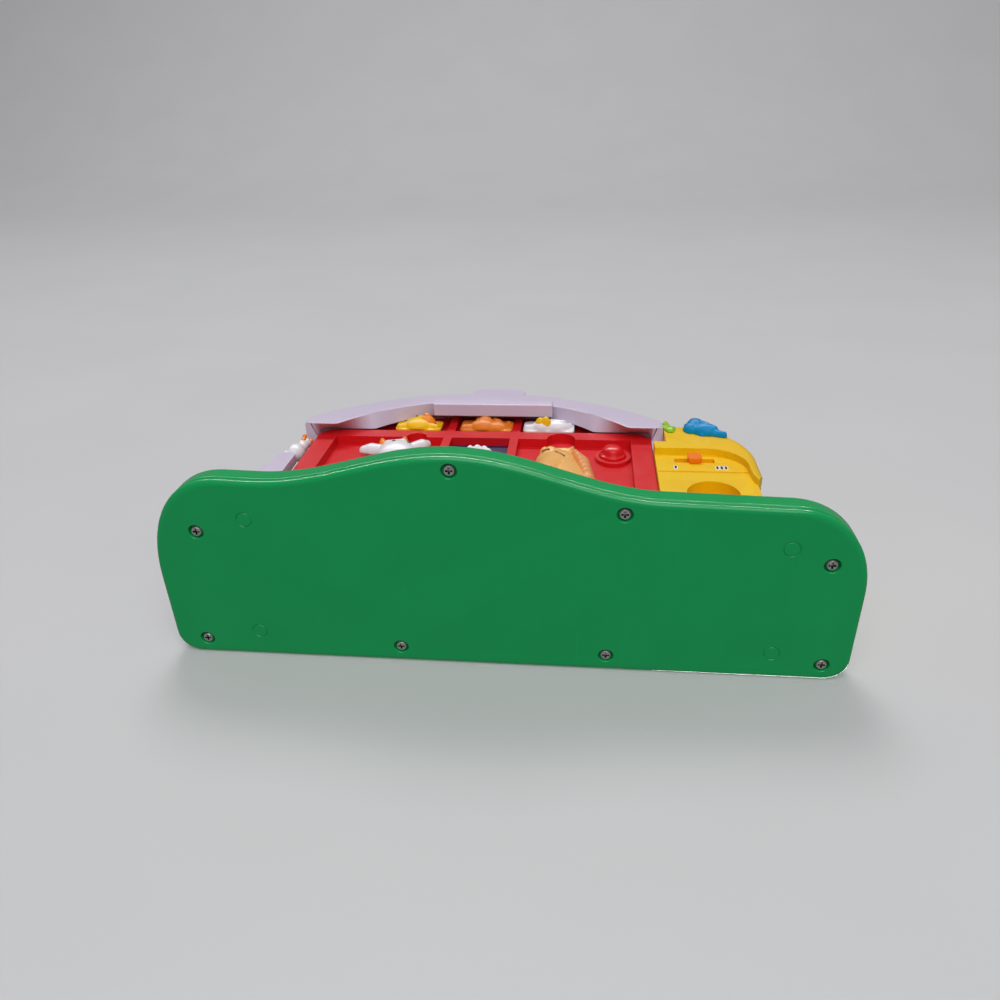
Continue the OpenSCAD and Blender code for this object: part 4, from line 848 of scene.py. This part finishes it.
def horse():
    body, head = "horse_button_body", (21.5, 84.5)
    shells = [ridge((30, 39), (30, 57), 15, 13, 6.5)]
    shells += [ridge((30 + s * 9, 37), (30 + s * 9, 28), 5, 5, 7) for s in (-1, 1)]
    shells += [ridge((30, 61), head, 11, 10.4, 6.8), dome(*head, 10.8, 7.8)]
    shells.append(ridge(head, (17.4, 68.5), 9.6, 7.6, 7.8, e=9.0))
    shells += [dome(15.4, 93.6, 3.0, 6.0), ridge((17.5, 93.4), (26.5, 93.6), 2.4, 2.6, 5.6)]
    shells += [ridge((27.6, 92.6), (29.6, 97.4), 2.8, 1.3, 5.8, e=5.0), dome(18.6, 88.4, 5.4, 8.6)]
    obj = melt("horse_relief", shells + stem(26.0, LOWER_STEM_Z), 0.45, 3)
    settle_piece(obj, TAN, body, ["horse_button"])
    mane = [ridge((30.6, 92.4), (35.0, 84.0), 3.2, 3.8, 5.2, e=5.6)]
    mane.append(ridge((35.0, 84.0), (37.4, 66.0), 3.8, 4.0, 5.6))
    for i in range(6):
        z = 90 - 4.4 * i
        mane.append(ridge((31.0 + 1.0 * i, z), (35.4 + 0.95 * i, z - 3.4), 2.4, 1.6, 6.6, e=3.4))
    detail("horse_mane", mane, MANE, "tan_plastic", body, 0.35, 2)
    lids, lid_r = [], 0.6
    for p, q in (((14.8, -13.2, 88.0), (17.8, -15.0, 86.6)), ((21.4, -14.9, 84.0), (25.6, -14.0, 81.6))):
        for t in spread(0.0, 1.0, 8):
            lids.append(ball(*[a + (b - a) * t for a, b in zip(p, q)], lid_r, lid_r, lid_r))
    detail("horse_eyelids", lids, MANE_DARK, "tan_plastic", body, 0.22, 1)
    eyes("horse_nostrils", [(14.6, 66.0), (19.6, 66.0)], 0.8, RELIEF_Y - 8.4, body)


def round_button():
    cap_r, flange_r, stem_r = 6.7, 8.1, 3.0
    cap = [(TIP_R, -11.7), (2.2, -11.6), (4.0, -10.9), (5.0, -9.7), (5.4, -8.2), (5.8, -7.6), (6.4, -7.4)]
    cap += [(cap_r, -6.9), (cap_r, BARB_FRONT), (flange_r, BARB_FRONT), (flange_r, BARB_BACK)]
    cap += [(stem_r, BARB_BACK), (stem_r, STEM_BACK), (TIP_R, STEM_BACK)]
    obj = piece("round_push_button", turned(cap, forward(50.0, 99.0), 56), 50.0)
    settle_piece(obj, RED_BUTTON, "round_button_body", ["round_button"])


# Bird, sprig and hen

def bird():
    y = SILO_FRONT
    shells = [dome(97, 109.0, 7.4, 5.2, y, 4.8, -14), dome(92.4, 113.8, 5.2, 5.8, y)]
    shells.append(dome(90, 111.2, 4.2, 4.6, y))
    shells.append(ridge((101.5, 106.4), (105.6, 104.0), 2.6, 1.7, 3.2, y))
    shells.append(ridge((95, 110.8), (101.6, 107.8), 2.8, 1.8, 6.2, y, 4.6))
    shells += [ridge((89.6, 113.6), (87.0, 112.8), 1.7, 0.8, 4.2, y, 3.4), dome(94.4, 117.4, 1.8, 4.2, y)]
    shells.append(peg(PEG_R, y - 1, y + PEG_LENGTH, forward(*BIRD_PEG), 24))
    settle_piece(melt("perched_bird", shells, 0.4, 3), BLUE, replaced=["blue_bird"])
    eyes("bird_eye", [(90.4, 114.8)], 0.7, y - 5.2, TOY)


def sprig():
    y = SILO_FRONT
    shells = [ridge((79.6, 111), (77.4, 119.0), 2.4, 1.2, 2.4, y, 1.6)]
    shells.append(ridge((79.2, 110), (74.6, 116.6), 2.0, 1.0, 2.2, y, 1.6))
    shells.append(ridge((79.8, 109.6), (81.6, 113.4), 1.7, 1.0, 2.2, y, 1.6))
    shells.append(peg(PEG_R, y - 1, y + PEG_LENGTH, forward(*SPRIG_PEG), 24))
    settle_piece(melt("leaf_sprig_leaves", shells, 0.4, 2), LIME, replaced=["leaf_sprig"])
    y += 3.0
    bud = [ridge((78.4, 124.4), (78.8, 117.2), 2.0, 1.0, 2.0, y, 1.8), dome(78.4, 124.8, 1.3, 2.8, y)]
    settle_piece(melt("flower_bud_petals", bud, 0.35, 2), ORANGE, replaced=["flower_bud"])


def hen():
    shells = [ball(-115.2, -8.6, 90.4, 4.7, 5.0, 5.8), ball(-114.0, -8.8, 98.0, 2.9, 3.4, 5.4)]
    shells += [ball(-119.4, -7.4, 93.4, 2.6, 2.3, 3.6), ball(-113.7, -9.0, 102.0, 2.9, 3.3, 3.3)]
    shells.append(peg(HEN_PEG_R, 78.6, 90, upright(*HEN_PEG), 20))
    settle_piece(melt("fence_hen", shells, 0.5, 4), WHITE, replaced=["hen"])
    comb = [ball(-113.7 + 1.8 * i, -9.0, 105.2 - 0.8 * abs(i), 1.6, 1.6, 2.0) for i in (-1, 0, 1)]
    comb += [ball(-113.6, -12.4, 101.8, 1.3, 1.9, 1.1), ball(-113.6, -11.9, 99.8, 1.0, 1.2, 1.5)]
    settle_piece(melt("hen_comb_and_beak", comb, 0.35, 2), ORANGE, replaced=["hen_comb"])
    eyes("hen_eyes", [(-115.6, 102.8), (-111.8, 102.8)], 0.55, -11.3, TOY)


# Nodes of the frame that keep their shape

def dress_frame():
    """Material of each such node and how far its edges are rounded."""
    edges = {
        "barn_front_frame": (RED, 0.7),
        "barn_back_shell": (LAVENDER, 0.8),
        "carry_handle": (LAVENDER, 2.2),
        "picket_fence": (LAVENDER, 0.9),
        "silo_back_shell": (YELLOW, 0.6),
        # Door panel with painted shade: the yellow's shaded tone as its colour.
        "silo_door_panel": (DOOR_YELLOW_PAINTED_SHADE, 0.3),
        "slide_knob": (KNOB_ORANGE, 0.7),
        "battery_door": (LAVENDER, 0.5),
        "cell_card": (NAVY, 0.0),
        "circuit_board": (LAMINATE, 0.0),
        "board_parts": (DULL_BLACK, 0.2),
        "key_domes": (RUBBER, 0.0),
        "speaker_basket": (BASKET, 0.0),
        "speaker_cone": (DULL_BLACK, 0.0),
        "speaker_magnet": (BASKET, 0.3),
        "aa_cells": (WRAP, 0.5),
        "battery_contacts": (NICKEL, 0.0),
        "slide_switch": (DULL_BLACK, 0.2),
        "wire_harness": (WIRE, 0.0),
    }
    for node in nodes:
        if node.endswith(("_screws", "_screw")):
            edges[node] = (STEEL, 0.22)
    for node, (material, width) in edges.items():
        dress(node, material, width, 4 if width > 2 else 2)


# Stage, light and camera

def one_sided(name, color):
    """Pale sheet that shows only its front."""
    m = Nodes(name)
    grain = m.span(m.noise(PAPER_GRAIN, 2.0), 0.3, 0.7, 0.0, 1.0)
    m.link(m.mix(grain, shade(color, 0.985), shade(color, 1.01)), m.shader.inputs["Base Color"])
    m.shader.inputs["Roughness"].default_value = 0.8
    m.shader.inputs["Specular IOR Level"].default_value = 0.1
    back = m.add("ShaderNodeNewGeometry").outputs["Backfacing"]
    clear = m.add("ShaderNodeBsdfTransparent").outputs["BSDF"]
    either = m.add("ShaderNodeMixShader")
    m.link(back, either.inputs["Fac"])
    m.link(m.shader.outputs["BSDF"], either.inputs[1])
    m.link(clear, either.inputs[2])
    m.link(either.outputs["Shader"], m.tree.nodes["Material Output"].inputs["Surface"])
    return m.material


def sheet(name, points, faces, material):
    """Part of the stage, in metres, that the toy's surfaces don't mirror."""
    mesh = bpy.data.meshes.new(name)
    mesh.from_pydata(points, [], faces)
    mesh.materials.append(material)
    for face in mesh.polygons:
        face.use_smooth = True
    obj = bpy.data.objects.new(name, mesh)
    bpy.context.scene.collection.objects.link(obj)
    obj.visible_shadow = False
    obj.visible_diffuse = False
    obj.visible_glossy = False


def stage():
    paper = one_sided("paper", srgb(205, 205, 207))
    far = STAGE_FAR
    corners = [(x * far, y * far, FLOOR_Z) for x, y in ((-1, -1), (1, -1), (1, 1), (-1, 1))]
    sheet("floor", corners, [[0, 1, 2, 3]], paper)
    cove = [(WALL_Y, -far), (WALL_Y, COVE_Z)]
    for a in spread(0.15, 1.2, 7):
        cove.append((WALL_Y - COVE_R * (1 - math.cos(a)), COVE_Z + COVE_R * math.sin(a)))
    cove.append((cove[-1][0] - 2.0, cove[-1][1] + 0.8))
    points = [(x, y, z) for y, z in cove for x in (-far, far)]
    faces = [[2 * i, 2 * i + 1, 2 * i + 3, 2 * i + 2] for i in range(len(cove) - 1)]
    sheet("backdrop", points, faces, paper)


def lamp(name, place, size, power, height=None):
    """Round area light, or a strip of the given height, aimed at the toy's middle."""
    light = bpy.data.lights.new(name, "AREA")
    light.shape = "RECTANGLE" if height else "DISK"
    light.size = size
    light.size_y = height or size
    light.energy = power
    obj = bpy.data.objects.new(name, light)
    obj.location = place
    obj.rotation_euler = (Vector(LIGHT_AIM) - Vector(place)).to_track_quat("-Z", "Y").to_euler()
    bpy.context.scene.collection.objects.link(obj)
    return obj


def lighting():
    world = bpy.data.worlds.new("studio")
    world.use_nodes = True
    back = world.node_tree.nodes["Background"]
    back.inputs["Color"].default_value = (1.0, 1.0, 1.0, 1.0)
    back.inputs["Strength"].default_value = WORLD_LIGHT
    bpy.context.scene.world = world
    lamp("key_front", (-0.3, -2.4, 1.35), 1.1, 21.0)
    lamp("fill_back", (0.9, 2.2, 1.8), 1.2, 46.0)
    lamp("fill_under", (0.2, -1.9, -1.3), 2.2, 36.0)
    glint = lamp("edge_glint", (-0.3, -2.6, 1.4), 4.5, 200.0, 0.06)
    glint.visible_diffuse = False


def camera():
    data = bpy.data.cameras.new("photo_camera")
    data.sensor_fit = "HORIZONTAL"
    data.sensor_width = SENSOR_MM
    data.lens = FOCAL_PX / PHOTO_PX * SENSOR_MM
    data.clip_start = 0.01
    right = Vector(CAMERA_RIGHT).normalized()
    ahead = Vector(CAMERA_AHEAD).normalized()
    up = right.cross(ahead).normalized()
    turn_to = Matrix((right, up, -ahead)).transposed().to_4x4()
    obj = bpy.data.objects.new("photo_camera", data)
    obj.matrix_world = Matrix.Translation(Vector(CAMERA_PLACE) * MM) @ turn_to
    bpy.context.scene.collection.objects.link(obj)
    bpy.context.scene.camera = obj


camera()
stage()
lighting()
base_bottom()
base_top()
roof()
silo()
for make in (chick, cat, duck, cow, sheep, horse, round_button, bird, sprig, hen):
    make()
dress_frame()
bpy.context.scene.view_settings.view_transform = "Standard"
